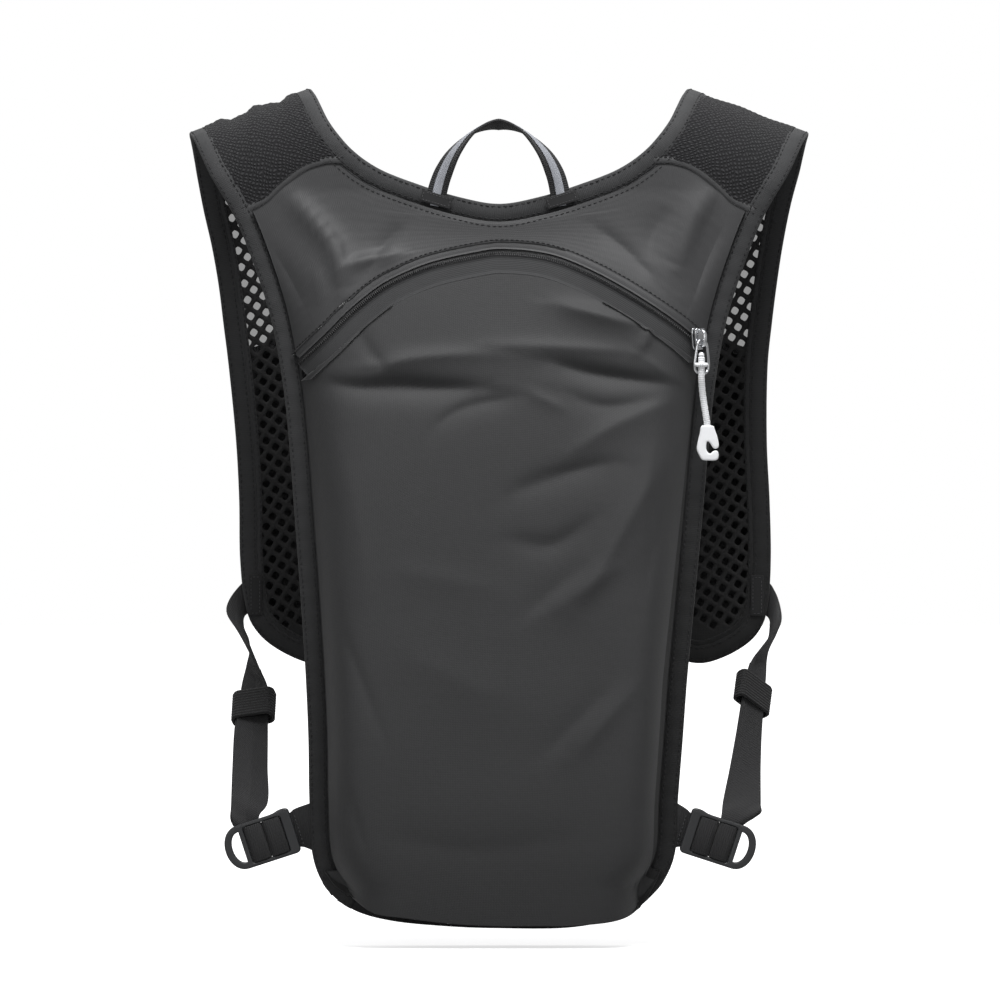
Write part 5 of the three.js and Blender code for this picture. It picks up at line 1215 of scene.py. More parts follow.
for side in sides.values():
    start, end = seam_ends(side)
    grid = []
    for v in np.linspace(0, 1, 111):
        row = []
        for u in np.linspace(0, 1, 71):
            seam_x = start + (end - start) * u
            seam_run = settle(seam_place(seam_x))[1] + 0.6
            run = seam_run + (MESH_FRONT - seam_run) * v
            outer = x_at(side.over_arm, 1, run) + side.sign * 1.5
            inner = x_at(side.over_neck, 1, run) - side.sign * 1.5
            x = outer + (inner - outer) * u
            pad = 0.5 * math.sin(math.pi * u) ** 0.5
            cells = math.sin((x + run) * 1.15 + 0.8 * math.sin(run * 0.31))
            cells *= math.sin((x - run) * 1.15 + side.sign)
            lumps = 0.22 * cells * math.sin(math.pi * min(1.0, v * 8, (1 - v) * 8) / 2)
            rise = MESH_THICKNESS / 2 + pad * 0.6 + lumps + shoulder_wave(side, x, run)
            row.append(sheet_point(x, run, rise))
        grid.append(row)
    grid = np.array(grid)
    outs = np.array([[sheet_normal(*settle(p)) for p in row] for row in grid])
    mesh = slab("air_mesh_" + side.name, grid, MESH_THICKNESS, [AIR_MESH], outs)
    finish_piece(mesh, "spacer_mesh", "shoulder_mesh_" + side.name)


# Coarse net: cells of a slanted lattice, each with a rounded opening
NET_A = np.array([4.8, -3.2])
NET_B = np.array([-3.2, -5.2])
NET_CORNERS = 12
NET_OPENING = 0.6
NET_ROUND = 0.84
# The last cells of the net are stitched shut along the strap's rounded end
NET_CLOSED = 13.0


def net_piece(side):
    top_run = MESH_FRONT + 0.3
    centre_x = side.sign * 0.7 * HALF_WIDTH
    pairs = np.array([NET_A, NET_B])
    margin = 5.5
    verts, faces, uvs, found = [], [], [], {}
    cells = []
    for i in range(-50, 51):
        for j in range(-50, 51):
            x, drop = np.array([centre_x, -150.0]) + pairs[0] * i * side.sign + pairs[1] * j
            if not -LENGTH * 0.69 < drop < -5:
                continue
            run = run_at(x, drop, 1)
            if run < top_run - 3 or run > side.tip_run + 4:
                continue
            outer = x_at(side.over_arm, 1, min(run, side.tip_run))
            inner = x_at(side.over_neck, 1, min(run, side.tip_run))
            low, high = min(outer, inner) - margin, max(outer, inner) + margin
            if low < x < high:
                cells.append((x, drop))
    half_a, half_b = pairs[0] * side.sign / 2, pairs[1] / 2
    rim_edges = {}

    def vertex(point, lift):
        key = (round(point[0], 2), round(point[1], 2), lift)
        if key not in found:
            run = run_at(point[0], point[1], 1)
            found[key] = len(verts)
            verts.append(sheet_point(point[0], run, lift))
            uvs.append(point)
        return found[key]

    for x, drop in cells:
        centre = np.array([x, drop])
        outline = []
        corners = [centre + half_a * a + half_b * b for a, b in ((-1, -1), (1, -1), (1, 1), (-1, 1))]
        for k in range(4):
            a, b = corners[k], corners[(k + 1) % 4]
            outline += [a, a + (b - a) / 3, a + (b - a) * 2 / 3]
        opening = []
        for k, p in enumerate(outline):
            reach = NET_OPENING * (NET_ROUND if k % 3 == 0 else 1.0)
            opening.append(centre + (p - centre) * reach)
        sides_of = []
        for lift in (NET_THICKNESS / 2, -NET_THICKNESS / 2):
            rim = [vertex(p, lift) for p in outline]
            hole = []
            for p in opening:
                run = run_at(p[0], p[1], 1)
                verts.append(sheet_point(p[0], run, lift * 0.55))
                uvs.append(p)
                hole.append(len(verts) - 1)
            sides_of.append((rim, hole))
            for k in range(NET_CORNERS):
                m = (k + 1) % NET_CORNERS
                quad = (rim[k], rim[m], hole[m], hole[k])
                faces.append(quad if lift > 0 else quad[::-1])
        for k in range(NET_CORNERS):
            m = (k + 1) % NET_CORNERS
            upper, lower = sides_of[0][0], sides_of[1][0]
            wall = (upper[m], upper[k], lower[k], lower[m])
            rim_edges.setdefault(frozenset(wall[:2]), []).append(wall)
        if run_at(x, drop, 1) > side.tip_run - NET_CLOSED:
            faces += [tuple(sides_of[0][1]), tuple(sides_of[1][1][::-1])]
            continue
        for k in range(NET_CORNERS):
            m = (k + 1) % NET_CORNERS
            faces.append((sides_of[0][1][k], sides_of[0][1][m], sides_of[1][1][m], sides_of[1][1][k]))
    faces += [walls[0] for walls in rim_edges.values() if len(walls) == 1]
    piece = new_object("net_" + side.name, verts, faces, [NET], uvs)
    make_consistent(piece)
    return piece


for side in sides.values():
    finish_piece(net_piece(side), "net", "strap_net_" + side.name)

# Tape sewn over the seam between the knitted mesh and each net
for side in sides.values():
    outer = x_at(side.over_arm, 1, MESH_FRONT + 0.3)
    inner = x_at(side.over_neck, 1, MESH_FRONT + 0.3)
    line = [sheet_point(outer + (inner - outer) * u, MESH_FRONT + 0.3) for u in np.linspace(-0.02, 1.02, 31)]
    tape = tape_along("mesh_seam_" + side.name, np.array(line), 8.0, 3.4, [DARK_TAPE], edge=0.9, crown=0.05)
    finish_piece(tape, "edge_tape")

# Fine sheer liner on the outside of the open part of each net
for side in sides.values():
    pocket_run = settle(front_place(side.sign * 0.7, 0.27))[1]
    grid = []
    for run in np.linspace(MESH_FRONT + 0.5, pocket_run + 6, 25):
        outer = x_at(side.over_arm, 1, run) + side.sign * 1.2
        inner = x_at(side.over_neck, 1, run) - side.sign * 1.2
        grid.append([sheet_point(outer + (inner - outer) * u, run, 0.95) for u in np.linspace(0, 1, 17)])
    outs = np.array([[sheet_normal(*settle(p)) for p in row] for row in grid])
    liner = slab("net_liner_" + side.name, np.array(grid), 0.3, [SHEER], outs)
    finish_piece(liner, "net")

# Chest pockets: dark stretch cloth on the outside of the straps, with a bound mouth
POCKET_FORM = [(0.0, 0.8), (0.3, 1.0), (0.7, 0.85), (0.9, 0.5), (1.0, 0.0)]


def strap_grid(side, from_run, to_run, columns, rows):
    grid = []
    for v in rows:
        run = from_run + (to_run - from_run) * v
        outer = x_at(side.over_arm, 1, run)
        inner = x_at(side.over_neck, 1, run)
        grid.append([sheet_point(outer + (inner - outer) * u, run) for u in columns])
    return np.array(grid)


def pocket_grid(side):
    top = front_place(side.sign * 0.7, 0.27)
    columns, rows = graded(49, 0.1, 0.25), np.linspace(0, 0.985, 61)
    flat = strap_grid(side, settle(top)[1], side.tip_run, columns, rows)
    base = HALF_DEPTH + 0.6 + GAP
    for i, v in enumerate(rows):
        stand = value_at(POCKET_FORM, 0, 1, v) * POCKET_DEPTH
        for j, u in enumerate(columns):
            across = abs(2 * u - 1)
            wrinkle = 0.5 * math.sin(v * 19 + u * 5) * (1 - across ** 4) * min(1.0, v * 4)
            flat[i, j, 1] = base + 0.9 + (stand + wrinkle) * (1 - across ** 8)
    return flat


for side in sides.values():
    grid = pocket_grid(side)
    outs = np.tile(np.array([0, 1.0, 0]), (*grid.shape[:2], 1))

    def in_front(points):
        points = points.copy()
        points[..., 1] = np.maximum(points[..., 1], HALF_DEPTH + 0.95)
        return points

    pocket = slab("pocket_" + side.name, grid, 1.0, [POCKET], outs, keep=in_front)
    finish_piece(pocket, "strap_cloth", "chest_pocket_" + side.name)
    mouth = grid[0] + np.array([0, 0.3, -3.5])
    profile = rounded_profile(7.0, 1.6, 0.7)
    sections = [[p + np.array([0, o, a]) for a, o in profile] for p in resample(mouth, 1.5)]
    rim = lofted("pocket_rim_" + side.name, sections, [DARK_TAPE])
    finish_piece(rim, "strap_cloth")

# Padded panel on the wearer's back, with two sewn channels
panel_top = cloth_top
hem_line = flat_back(stretch_of(cloth_edge, hem_joint, edge_total)[::-1])
panel_plan = patch(
    panel_top, hem_line,
    arm_side(sides["left"], panel_top[0], hem_line[0]),
    arm_side(sides["right"], panel_top[-1], hem_line[-1]),
    graded(81, 0.05, 0.15), np.linspace(0, 1, 101),
)


def panel_face(plan):
    """Wearer's side of the pad: crowned between its edges and its channels."""
    across = np.linspace(-1, 1, plan.shape[1])[None, :]
    down = np.linspace(0, 1, plan.shape[0])[:, None]
    rim = (1 - np.abs(across) ** 8) * (1 - np.abs(2 * down - 1) ** 16)
    lines = sum(np.exp(-((across - c) / 0.02) ** 2) for c in (-0.34, 0.34)) * ((down > 0.08) & (down < 0.94))
    grid = plan.copy()
    grid[..., 1] = -HALF_DEPTH + PANEL_THICKNESS / 2 - 0.7 + 1.2 * rim - 1.3 * lines
    return grid


face = panel_face(panel_plan)
panel = slab("back_pad", face, 3.2, [PADDING], np.tile(np.array([0, 1.0, 0]), (*face.shape[:2], 1)))
finish_piece(panel, "padding", "back_panel")


# Moulded, cast and webbing parts
UP = np.array([0.0, 0.0, 1.0])


class Place:
    """Directions u, v and w with an origin, in millimetres."""

    def __init__(self, u, v, w, origin):
        self.u, self.v, self.w = unit(np.array(u, float)), unit(np.array(v, float)), unit(np.array(w, float))
        self.origin = np.array(origin, float)

    def at(self, u, v, w=0.0):
        return self.origin + self.u * u + self.v * v + self.w * w


def bezier(a, b, c, d, count=14):
    t = np.linspace(0, 1, count)[:, None]
    a, b, c, d = (np.array(p, float) for p in (a, b, c, d))
    return list(a * (1 - t) ** 3 + 3 * b * t * (1 - t) ** 2 + 3 * c * t ** 2 * (1 - t) + d * t ** 3)


def rounded_box(low, high, radius, steps=5):
    """Outline of a rectangle with round corners."""
    found = []
    corners = [(high[0], high[1], 0), (low[0], high[1], 1), (low[0], low[1], 2), (high[0], low[1], 3)]
    for x, y, quarter in corners:
        cx = x - radius if x == high[0] else x + radius
        cy = y - radius if y == high[1] else y + radius
        for k in range(steps + 1):
            angle = math.pi / 2 * (quarter + k / steps)
            found.append((cx + radius * math.cos(angle), cy + radius * math.sin(angle)))
    return found


def moulded(name, outline, holes, thickness, bevel, place, materials, level=0.0):
    """Flat moulding with holes and round edges, lying in a place's u and v."""
    curve = bpy.data.curves.new(name, "CURVE")
    curve.dimensions = "2D"
    curve.fill_mode = "BOTH"
    curve.extrude = thickness / 2 - bevel
    curve.bevel_depth = bevel
    curve.bevel_resolution = 3
    curve.offset = -bevel
    for loop in [outline, *holes]:
        spline = curve.splines.new("POLY")
        spline.points.add(len(loop) - 1)
        for point, place_uv in zip(spline.points, loop):
            point.co = (place_uv[0], place_uv[1], 0, 1)
        spline.use_cyclic_u = True
    shape = bpy.data.objects.new(name + "_outline", curve)
    bpy.context.scene.collection.objects.link(shape)
    bpy.context.view_layer.update()
    solid = bpy.data.meshes.new_from_object(shape.evaluated_get(bpy.context.evaluated_depsgraph_get()))
    bpy.data.objects.remove(shape)
    points = np.zeros(len(solid.vertices) * 3)
    solid.vertices.foreach_get("co", points)
    points = points.reshape(-1, 3)
    faces = [tuple(p.vertices) for p in solid.polygons]
    bpy.data.meshes.remove(solid)
    verts = [place.at(p[0], p[1], p[2] + level) for p in points]
    piece = new_object(name, verts, faces, materials)
    mesh = bmesh.new()
    mesh.from_mesh(piece.data)
    bmesh.ops.remove_doubles(mesh, verts=mesh.verts, dist=0.00001)
    bmesh.ops.recalc_face_normals(mesh, faces=mesh.faces)
    mesh.to_mesh(piece.data)
    mesh.free()
    return piece


def ribbon(name, outer, inner, thickness, materials, edge=0.6, crown=0.05, step=1.5):
    """Webbing between two edge lines, with round edges."""
    outer, inner = catmull(outer, step), catmull(inner, step)
    count = max(len(outer), len(inner))
    shares_of = np.linspace(0, 1, count)
    outer = np.array([at_share(outer, s) for s in shares_of])
    inner = np.array([at_share(inner, s) for s in shares_of])
    middle = (outer + inner) / 2
    sections = []
    for i in range(count):
        along = unit(middle[min(count - 1, i + 1)] - middle[max(0, i - 1)])
        wide = inner[i] - outer[i]
        width = np.linalg.norm(wide)
        wide = unit(wide)
        out = unit(np.cross(along, wide))
        profile = rounded_profile(width, thickness, edge, crown=crown)
        sections.append([middle[i] + wide * a + out * o for a, o in profile])
    return lofted(name, sections, materials)


def sewn_box(name, centre, u, v, w, wide, tall, material, pitch=2.0, cross=False, width=0.5, height=0.35):
    """Rectangle of stitches, with a cross in it where asked."""
    place = Place(u, v, w, centre)
    runs = [
        [place.at(-wide / 2, -tall / 2), place.at(wide / 2, -tall / 2)],
        [place.at(wide / 2, -tall / 2), place.at(wide / 2, tall / 2)],
        [place.at(wide / 2, tall / 2), place.at(-wide / 2, tall / 2)],
        [place.at(-wide / 2, tall / 2), place.at(-wide / 2, -tall / 2)],
    ]
    if cross:
        runs += [[place.at(-wide / 2, -tall / 2), place.at(wide / 2, tall / 2)],
                 [place.at(-wide / 2, tall / 2), place.at(wide / 2, -tall / 2)]]
    parts = [dashes(name, np.array(r), [place.w, place.w], material, pitch=pitch, width=width, height=height)
             for r in runs]
    return joined(name, *parts)


# Zip slider: body with two wings, bail, wire ring, cord and moulded hook
SLIDER_AT = at_share(zip_line, 0.972)
slider_base = on_pack(np.array([SLIDER_AT, SLIDER_AT]), 2.3, ())[0]
flat_base = on_pack(np.array([SLIDER_AT, SLIDER_AT]), 0.0, ())[0]
slider_w = unit(slider_base[0] - flat_base[0])
slider_down = unit(-UP + slider_w * np.dot(UP, slider_w))
SLIDER = Place(-np.cross(slider_w, slider_down), -slider_down, slider_w, slider_base[0] + slider_w * 0.6)
body = [(-2.0, -5.4), (2.0, -5.4), (2.6, -3.6), (3.4, 2.0), (3.4, 4.6), (2.4, 5.5), (0.9, 5.3), (0, 4.2),
        (-0.9, 5.3), (-2.4, 5.5), (-3.4, 4.6), (-3.4, 2.0), (-2.6, -3.6)]
parts = [
    moulded("slider_top", body, [], 1.3, 0.4, SLIDER, [STEEL], 2.9),
    moulded("slider_foot", body, [], 1.2, 0.4, SLIDER, [STEEL], 0.6),
    moulded("slider_neck", rounded_box((-0.9, -1.0), (0.9, 4.6), 0.7), [], 2.4, 0.2, SLIDER, [STEEL], 1.75),
]
BAIL = [(4.3, 3.2), (4.2, 5.4), (2.6, 6.7), (0, 7.0), (-2.6, 6.7), (-3.6, 5.0), (-3.3, 3.2)]
bail_line = [SLIDER.at(0, v, w) for v, w in BAIL]
parts.append(lofted("slider_bail", tube_sections(catmull(bail_line, 0.6), 0.75, 10, flat=1.5), [STEEL]))
finish_piece(joined("slider", *parts), "steel", "zip_slider")

RING_DOWN = 16.8
RING_FORM = [
    (0.0, 0.0), (1.9, 0.45), (3.1, 2.0), (3.7, 5.0), (4.4, 9.0), (4.75, 12.5), (4.2, 15.2), (2.5, 16.5),
    (0.0, RING_DOWN),
]


def ring_point(x, down):
    return SLIDER.at(x, -0.6 - down, 4.9)


ring_side = catmull([(x, 0.0, d) for x, d in RING_FORM], 0.7)
ring_line = [ring_point(p[0], p[2]) for p in ring_side]
ring_line += [ring_point(-p[0], p[2]) for p in ring_side[-2:0:-1]]
ring = lofted("ring_wire", tube_sections(ring_line, 0.72, 12, closed=True), [STEEL], closed=True)
finish_piece(ring, "steel", "pull_ring")

# Cord: one strand before the ring and one behind it, with a crossbar, down into the pull
CORD_RADIUS = 1.7
eye_centre = ring_point(0, RING_DOWN)
CORD_FORM = [
    (0, -2.3, 8.2), (0, -2.6, 5.0), (0, -2.8, 1.0), (0, -2.5, -2.5), (0.3, -1.2, -7.0), (0.9, -0.2, -12.0),
    (1.65, 0.0, -16.8), (2.4, 0.0, -21.4), (3.0, 0.0, -26.0), (3.1, 0.0, -27.6),
]
cord_line = catmull([eye_centre + np.array(p, float) for p in CORD_FORM], 0.8)
back_line = catmull([eye_centre + np.array(p, float) for p in (
    (0, -2.2, 8.3), (0, -0.9, 9.6), (0, 1.0, 8.6), (0, 2.4, 4.0), (0, 2.3, 0.0),
    (0, 1.0, -3.4), (0.1, -1.0, -5.5))], 0.8)


def braided(name, points, radius, closed=False):
    """Cord with the low ridges of its braid."""
    sections = np.array(tube_sections(points, radius, 20, closed=closed))
    middle = sections.mean(axis=1, keepdims=True)
    i = np.arange(sections.shape[0])[:, None, None]
    k = np.arange(20)[None, :, None]
    ridge = 1.0
    for turn in (1, -1):
        ridge = ridge + 0.03 * np.sin(2 * math.pi * (k / 4 + turn * i / 3.0))
    return lofted(name, middle + (sections - middle) * ridge, [CORD], closed=closed)


cord = braided("cord_run", cord_line, CORD_RADIUS * 0.97)
finish_piece(cord, "light_cord", "pull_cord")
bar_line = [eye_centre + np.array([x, -3.0 - 1.5 * math.cos(x * 0.38), 4.4])
            for x in np.linspace(-3.4, 3.4, 12)]
bar_sizes = [0.5, 0.95] + [1.15] * 8 + [0.95, 0.5]
cord_knot = joined("cord_knot", braided("cord_back", back_line, 1.35),
                   lofted("cord_bar", tube_sections(bar_line, bar_sizes, 12), [CORD]))
finish_piece(cord_knot, "light_cord")


def smooth_loop(points, steps=4):
    """Closed outline with a smooth line through its points."""
    p = np.array(points, float)
    found = []
    for i in range(len(p)):
        a, b, c, d = p[i - 1], p[i], p[(i + 1) % len(p)], p[(i + 2) % len(p)]
        for t in np.arange(steps) / steps:
            found.append(tuple(0.5 * (2 * b + (c - a) * t + (2 * a - 5 * b + 4 * c - d) * t ** 2
                                      + (3 * b - a - 3 * c + d) * t ** 3)))
    return found


HOOK = [
    (-3.0, 0.2), (0.0, 0.45), (3.0, 0.2), (3.7, -1.6), (4.9, -4.9), (5.6, -8.4), (5.6, -10.3),
    (4.5, -11.1), (3.0, -10.8), (1.9, -9.3), (0.9, -7.9), (0.0, -7.6), (-0.5, -8.7), (-0.6, -11.2),
    (0.2, -12.9), (1.4, -13.6), (2.3, -12.9), (3.5, -12.1), (4.9, -12.3), (5.6, -13.6), (5.4, -15.9),
    (4.1, -17.0), (0.8, -17.1), (-2.4, -16.8), (-3.9, -15.0), (-5.3, -11.6), (-4.9, -8.0), (-3.8, -3.4),
]
pull_top = eye_centre + np.array([3.0, 0.0, -26.3])
PULL = Place((1, 0, 0), (0, 0, 1), (0, -1, 0), pull_top)
tab = moulded("hook_pull", smooth_loop(HOOK), [], 4.4, 0.8, PULL, [RUBBER])
finish_piece(tab, "light_rubber", "pull_tab")


# Haul loop: sewn flat on the neckline, on edge over its crown
LOOP_PATH = [
    (-0.207, 0.118, 0), (-0.197, 0.1, 4), (-0.178, 0.078, 22), (-0.14, 0.052, 55), (-0.076, 0.028, 90),
    (-0.003, 0.019, 118), (0.07, 0.027, 90), (0.14, 0.052, 55), (0.178, 0.078, 22), (0.194, 0.1, 4),
    (0.201, 0.118, 0),
]
LOOP_BASE = -HALF_DEPTH - BINDING_THICKNESS / 2 - GAP - WEBBING_THICKNESS / 2
loop_points = np.array([(a * HALF_WIDTH, LOOP_BASE - 5 * math.sin(math.radians(min(90, t))), -d * LENGTH)
                        for a, d, t in LOOP_PATH])
loop_line = catmull(loop_points, 1.2)
loop_lengths = lengths_of(loop_line)
loop_marks = [loop_lengths[int(np.argmin(np.linalg.norm(loop_line - p, axis=1)))] for p in loop_points]
turn_at = np.interp(loop_lengths, loop_marks, [t for _, _, t in LOOP_PATH])


def loop_band(name, width, thickness, lift, materials, crown=0.05):
    sections = []
    for i, p in enumerate(loop_line):
        along = loop_line[min(len(loop_line) - 1, i + 1)] - loop_line[max(0, i - 1)]
        along[1] = 0
        along = unit(along)
        turn = math.radians(turn_at[i])
        face = np.array([-along[2], 0, along[0]]) * math.sin(turn) + np.array([0, -math.cos(turn), 0])
        across = unit(np.cross(along, face))
        profile = rounded_profile(width, thickness, 0.5, crown=crown)
        sections.append([p + face * (lift + o) + across * a for a, o in profile])
    return lofted(name, sections, materials)


loop = loop_band("loop_webbing", 10.0, 1.4, 0.0, [WEB])
finish_piece(loop, "webbing", "haul_loop")
finish_piece(loop_band("loop_stripe", 4.4, 0.5, 1.1, [STRIPE]), "reflective", "haul_loop_stripe")
for sign, row in ((-1, 1), (1, -2)):
    side_name = "left" if sign < 0 else "right"
    spot = np.array([sign * 31.5, LOOP_BASE - 1.9, -45.2])
    along = unit(np.array([1.0, 0.0, 0.3 * sign]))
    over = Place(along, np.cross(along, (0, 1, 0)), (0, -1, 0), spot)
    cover_outline = rounded_box((-8.0, -2.9), (8.0, 2.9), 0.7, 3)
    cover = moulded("loop_cover_" + side_name, cover_outline, [], 0.9, 0.3, over, [DARK_TAPE])
    finish_piece(cover, "edge_tape")
    rows = sewn_box("loop_cover_stitches_" + side_name, over.at(0, 0, 0.45), over.u, over.v, over.w,
                    14.0, 3.8, THREAD, pitch=1.6, width=0.4, height=0.2)
    finish_piece(rows, "webbing")

# Ladder locks
NEAR_BAR, FAR_BAR = -2.35, 7.45
WINDOW = (-7.3, 12.4)
WINDOW_HALF = 9.2
LOCK_HALF, LOCK_END = 11.25, 17.55
PULL_START = -9.85
PULL_HALF, PULL_REACH = 7.85, 7.125
BAR, BAR_THICKNESS, LOCK_THICKNESS = 6.0, 1.8, 4.4
LOCK_Y = -HALF_DEPTH - LOCK_THICKNESS / 2 - 0.35 - WEBBING_THICKNESS / 2
BEHIND = LOCK_THICKNESS / 2 + 0.35
LOCK_AT = {"left": (-0.758, 0.893), "right": (0.702, 0.893)}
TILT = math.radians(18)


def lock_place(side):
    across, down = LOCK_AT[side.name]
    c, s = math.cos(TILT), math.sin(TILT)
    return Place((-side.sign * c, 0, s), (side.sign * s, 0, c), (0, -1, 0),
                 (across * HALF_WIDTH, LOCK_Y, -down * LENGTH))


def bow(half, reach, count):
    """Rounded end of the lock, from its start out to a reach and back."""
    far = PULL_START - reach
    return bezier((PULL_START, half), (far, half), (far, -half), (PULL_START, -half), count)


def ladder_lock(side):
    place = lock_place(side)
    outline = [(LOCK_END, -LOCK_HALF + 2.4), (LOCK_END, LOCK_HALF - 1.4)]
    outline += bezier((LOCK_END, LOCK_HALF - 1.0), (LOCK_END, LOCK_HALF + 1.2),
                      (LOCK_END - 3, LOCK_HALF + 1.3), (LOCK_END - 5.5, LOCK_HALF + 0.9), 8)
    outline += [(LOCK_END - 8, LOCK_HALF + 0.2), (LOCK_END - 10.5, LOCK_HALF)]
    outline += bow(LOCK_HALF, PULL_START + 21.95, 25)
    outline += bezier((LOCK_END - 2.6, -LOCK_HALF), (LOCK_END - 1, -LOCK_HALF), (LOCK_END, -LOCK_HALF + 1),
                      (LOCK_END, -LOCK_HALF + 2.3), 6)
    finger = bow(PULL_HALF, PULL_REACH, 21)
    window = rounded_box((WINDOW[0], -WINDOW_HALF), (WINDOW[1], WINDOW_HALF), 0.9, 4)
    name = "lock_frame_" + side.name
    parts = [moulded(name, outline, [finger, window], LOCK_THICKNESS, 0.75, place, [PLASTIC])]
    for label, centre in (("near", NEAR_BAR), ("far", FAR_BAR)):
        tall = WINDOW_HALF + 0.9
        bar = rounded_box((centre - BAR / 2, -tall), (centre + BAR / 2, tall), 0.5, 2)
        name = "lock_bar_%s_%s" % (label, side.name)
        parts.append(moulded(name, bar, [], BAR_THICKNESS, 0.5, place, [PLASTIC]))
    return joined("lock_" + side.name, *parts)


def wrapped(name, place, centre, materials):
    """Webbing folded round a bar, with its ends meeting behind the lock."""
    inside, high = BAR / 2 + 0.35, BAR_THICKNESS / 2 + 0.35
    low = BEHIND + WEBBING_THICKNESS
    outer = rounded_box((centre - inside - 1.54, -low), (centre + inside + 1.54, high + 1.8), 3.2, 5)
    inner = rounded_box((centre - inside, -low + 1.4), (centre + inside, high), 0.5, 5)
    half = WEBBING / 2 + 0.15
    verts = []
    rows = [(-half, 0.25), (-half + 0.35, 0.0), (half - 0.35, 0.0), (half, 0.25)]
    for v, pinch in rows:
        for loop, sign in ((outer, -1), (inner, 1)):
            for (u, w), (mu, mw) in zip(loop, inner if sign < 0 else outer):
                d = unit(np.array([mu - u, mw - w]))
                verts.append(place.at(u + d[0] * pinch, v, w + d[1] * pinch))
    around = lengths_of(np.array([(u, w, 0.0) for u, w in outer]))
    uvs = []
    for v, pinch in rows:
        uvs += [(v + 9.0, a) for a in around] * 2
    piece = new_object(name, verts, sleeve_faces(len(rows), len(outer)), materials, uvs)
    make_consistent(piece)
    return piece


# Side straps with their keepers, tabs and stitches
STRAP_PATH = {
    "left": [
        (0.806, 0.574, 0.799, 0.617, 1.07), (0.844, 0.582, 0.828, 0.62, 1.07),
        (0.892, 0.614, 0.834, 0.635, 1.05), (0.854, 0.639, 0.818, 0.65, 0.92),
        (0.815, 0.662, 0.809, 0.665, 0.8), (0.822, 0.681, 0.783, 0.686, 0.675),
        (0.838, 0.708, 0.752, 0.71, 0.5), (0.85, 0.754, 0.748, 0.757, 0.1),
        (0.854, 0.805, 0.745, 0.805, -0.35), (0.854, 0.849, 0.742, 0.849, -0.8),
        (0.854, 0.866, 0.768, 0.8645, -1), (0.847, 0.876, 0.752, 0.903, -1),
    ],
    "right": [
        (0.85, 0.574, 0.85, 0.618, 1.07), (0.889, 0.582, 0.879, 0.623, 1.07),
        (0.924, 0.623, 0.885, 0.64, 1.05), (0.908, 0.642, 0.876, 0.653, 0.92),
        (0.882, 0.662, 0.85, 0.664, 0.8), (0.873, 0.676, 0.822, 0.678, 0.675),
        (0.869, 0.695, 0.803, 0.697, 0.5), (0.857, 0.735, 0.78, 0.738, 0.15),
        (0.844, 0.793, 0.748, 0.796, -0.3), (0.834, 0.847, 0.717, 0.847, -0.8),
        (0.831, 0.858, 0.71, 0.864, -1), (0.78, 0.873, 0.685, 0.903, -1),
    ],
}
KEEPER_ROW = 6
KEEPER_ROOM = {"left": 2.4, "right": 1.3}


def strap_sides(side):
    level = LOCK_Y + BEHIND + WEBBING_THICKNESS / 2 + HALF_DEPTH
    outer, inner = [], []
    for o, od, i, id_, depth in STRAP_PATH[side.name]:
        a = np.array([side.sign * o * HALF_WIDTH, 0, -od * LENGTH])
        b = np.array([side.sign * i * HALF_WIDTH, 0, -id_ * LENGTH])
        seen = np.linalg.norm(a - b)
        flat = depth < -0.9 or seen > 0.85 * WEBBING
        turn = 0.0 if flat else math.sqrt(WEBBING ** 2 - seen ** 2) / 2
        y = depth * HALF_DEPTH + (0 if depth > -0.9 else level)
        a[1], b[1] = y + turn, y - turn
        outer.append(a)
        inner.append(b)
    return outer, inner


def tail_of(outer, inner, line):
    found = []
    for i, k in enumerate(range(KEEPER_ROW - 1, len(outer))):
        after = min(len(outer) - 1, k + 1)
        down = outer[after] - outer[k - 1]
        wide = unit(inner[k] - outer[k])
        out = unit(np.cross(down, wide))
        if out[1] < 0:
            out = -out
        aside = wide * -0.9
        found.append(line[k] + out * (WEBBING_THICKNESS - 0.05) + aside)
    return found


def keeper_of(side, outer, inner):
    k = KEEPER_ROW
    top, foot = (outer[k] + inner[k]) / 2, (outer[k + 1] + inner[k + 1]) / 2
    wide = unit(inner[k] + inner[k + 1] - outer[k] - outer[k + 1])
    up = unit(top - foot)
    wide = unit(wide - up * np.dot(wide, up))
    out = np.cross(wide, up)
    if out[1] > 0:
        out = -out
    place = Place(wide, up, out, (top + foot) / 2 - out * WEBBING_THICKNESS / 2)
    half_wide, half_deep = WEBBING / 2 + 0.9, WEBBING_THICKNESS + KEEPER_ROOM[side.name]
    skin = 1.2
    outside = rounded_box((-half_wide - skin, -half_deep - skin), (half_wide + skin, half_deep + skin),
                          (half_deep + skin) * 0.8, 8)
    inside = rounded_box((-half_wide, -half_deep), (half_wide, half_deep), half_deep * 0.8, 8)
    verts, uvs = [], []
    rows = 86
    for r in range(rows):
        v = -8.5 + 17.0 * r / (rows - 1)
        rib = 0.16 * math.sin(2 * math.pi * v / 1.7)
        ends = 0.35 * max(0.0, abs(v) - 7.9) / 0.6
        for loop, move in ((outside, rib - ends), (inside, 0.0)):
            for u, w in loop:
                d = unit(np.array([u * 0.3, w]))
                verts.append(place.at(u + d[0] * move, v, w + d[1] * move))
                uvs.append((u, v))
    piece = new_object("keeper_band_" + side.name, verts, sleeve_faces(rows, len(outside)), [ELASTIC], uvs)
    make_consistent(piece)
    return piece


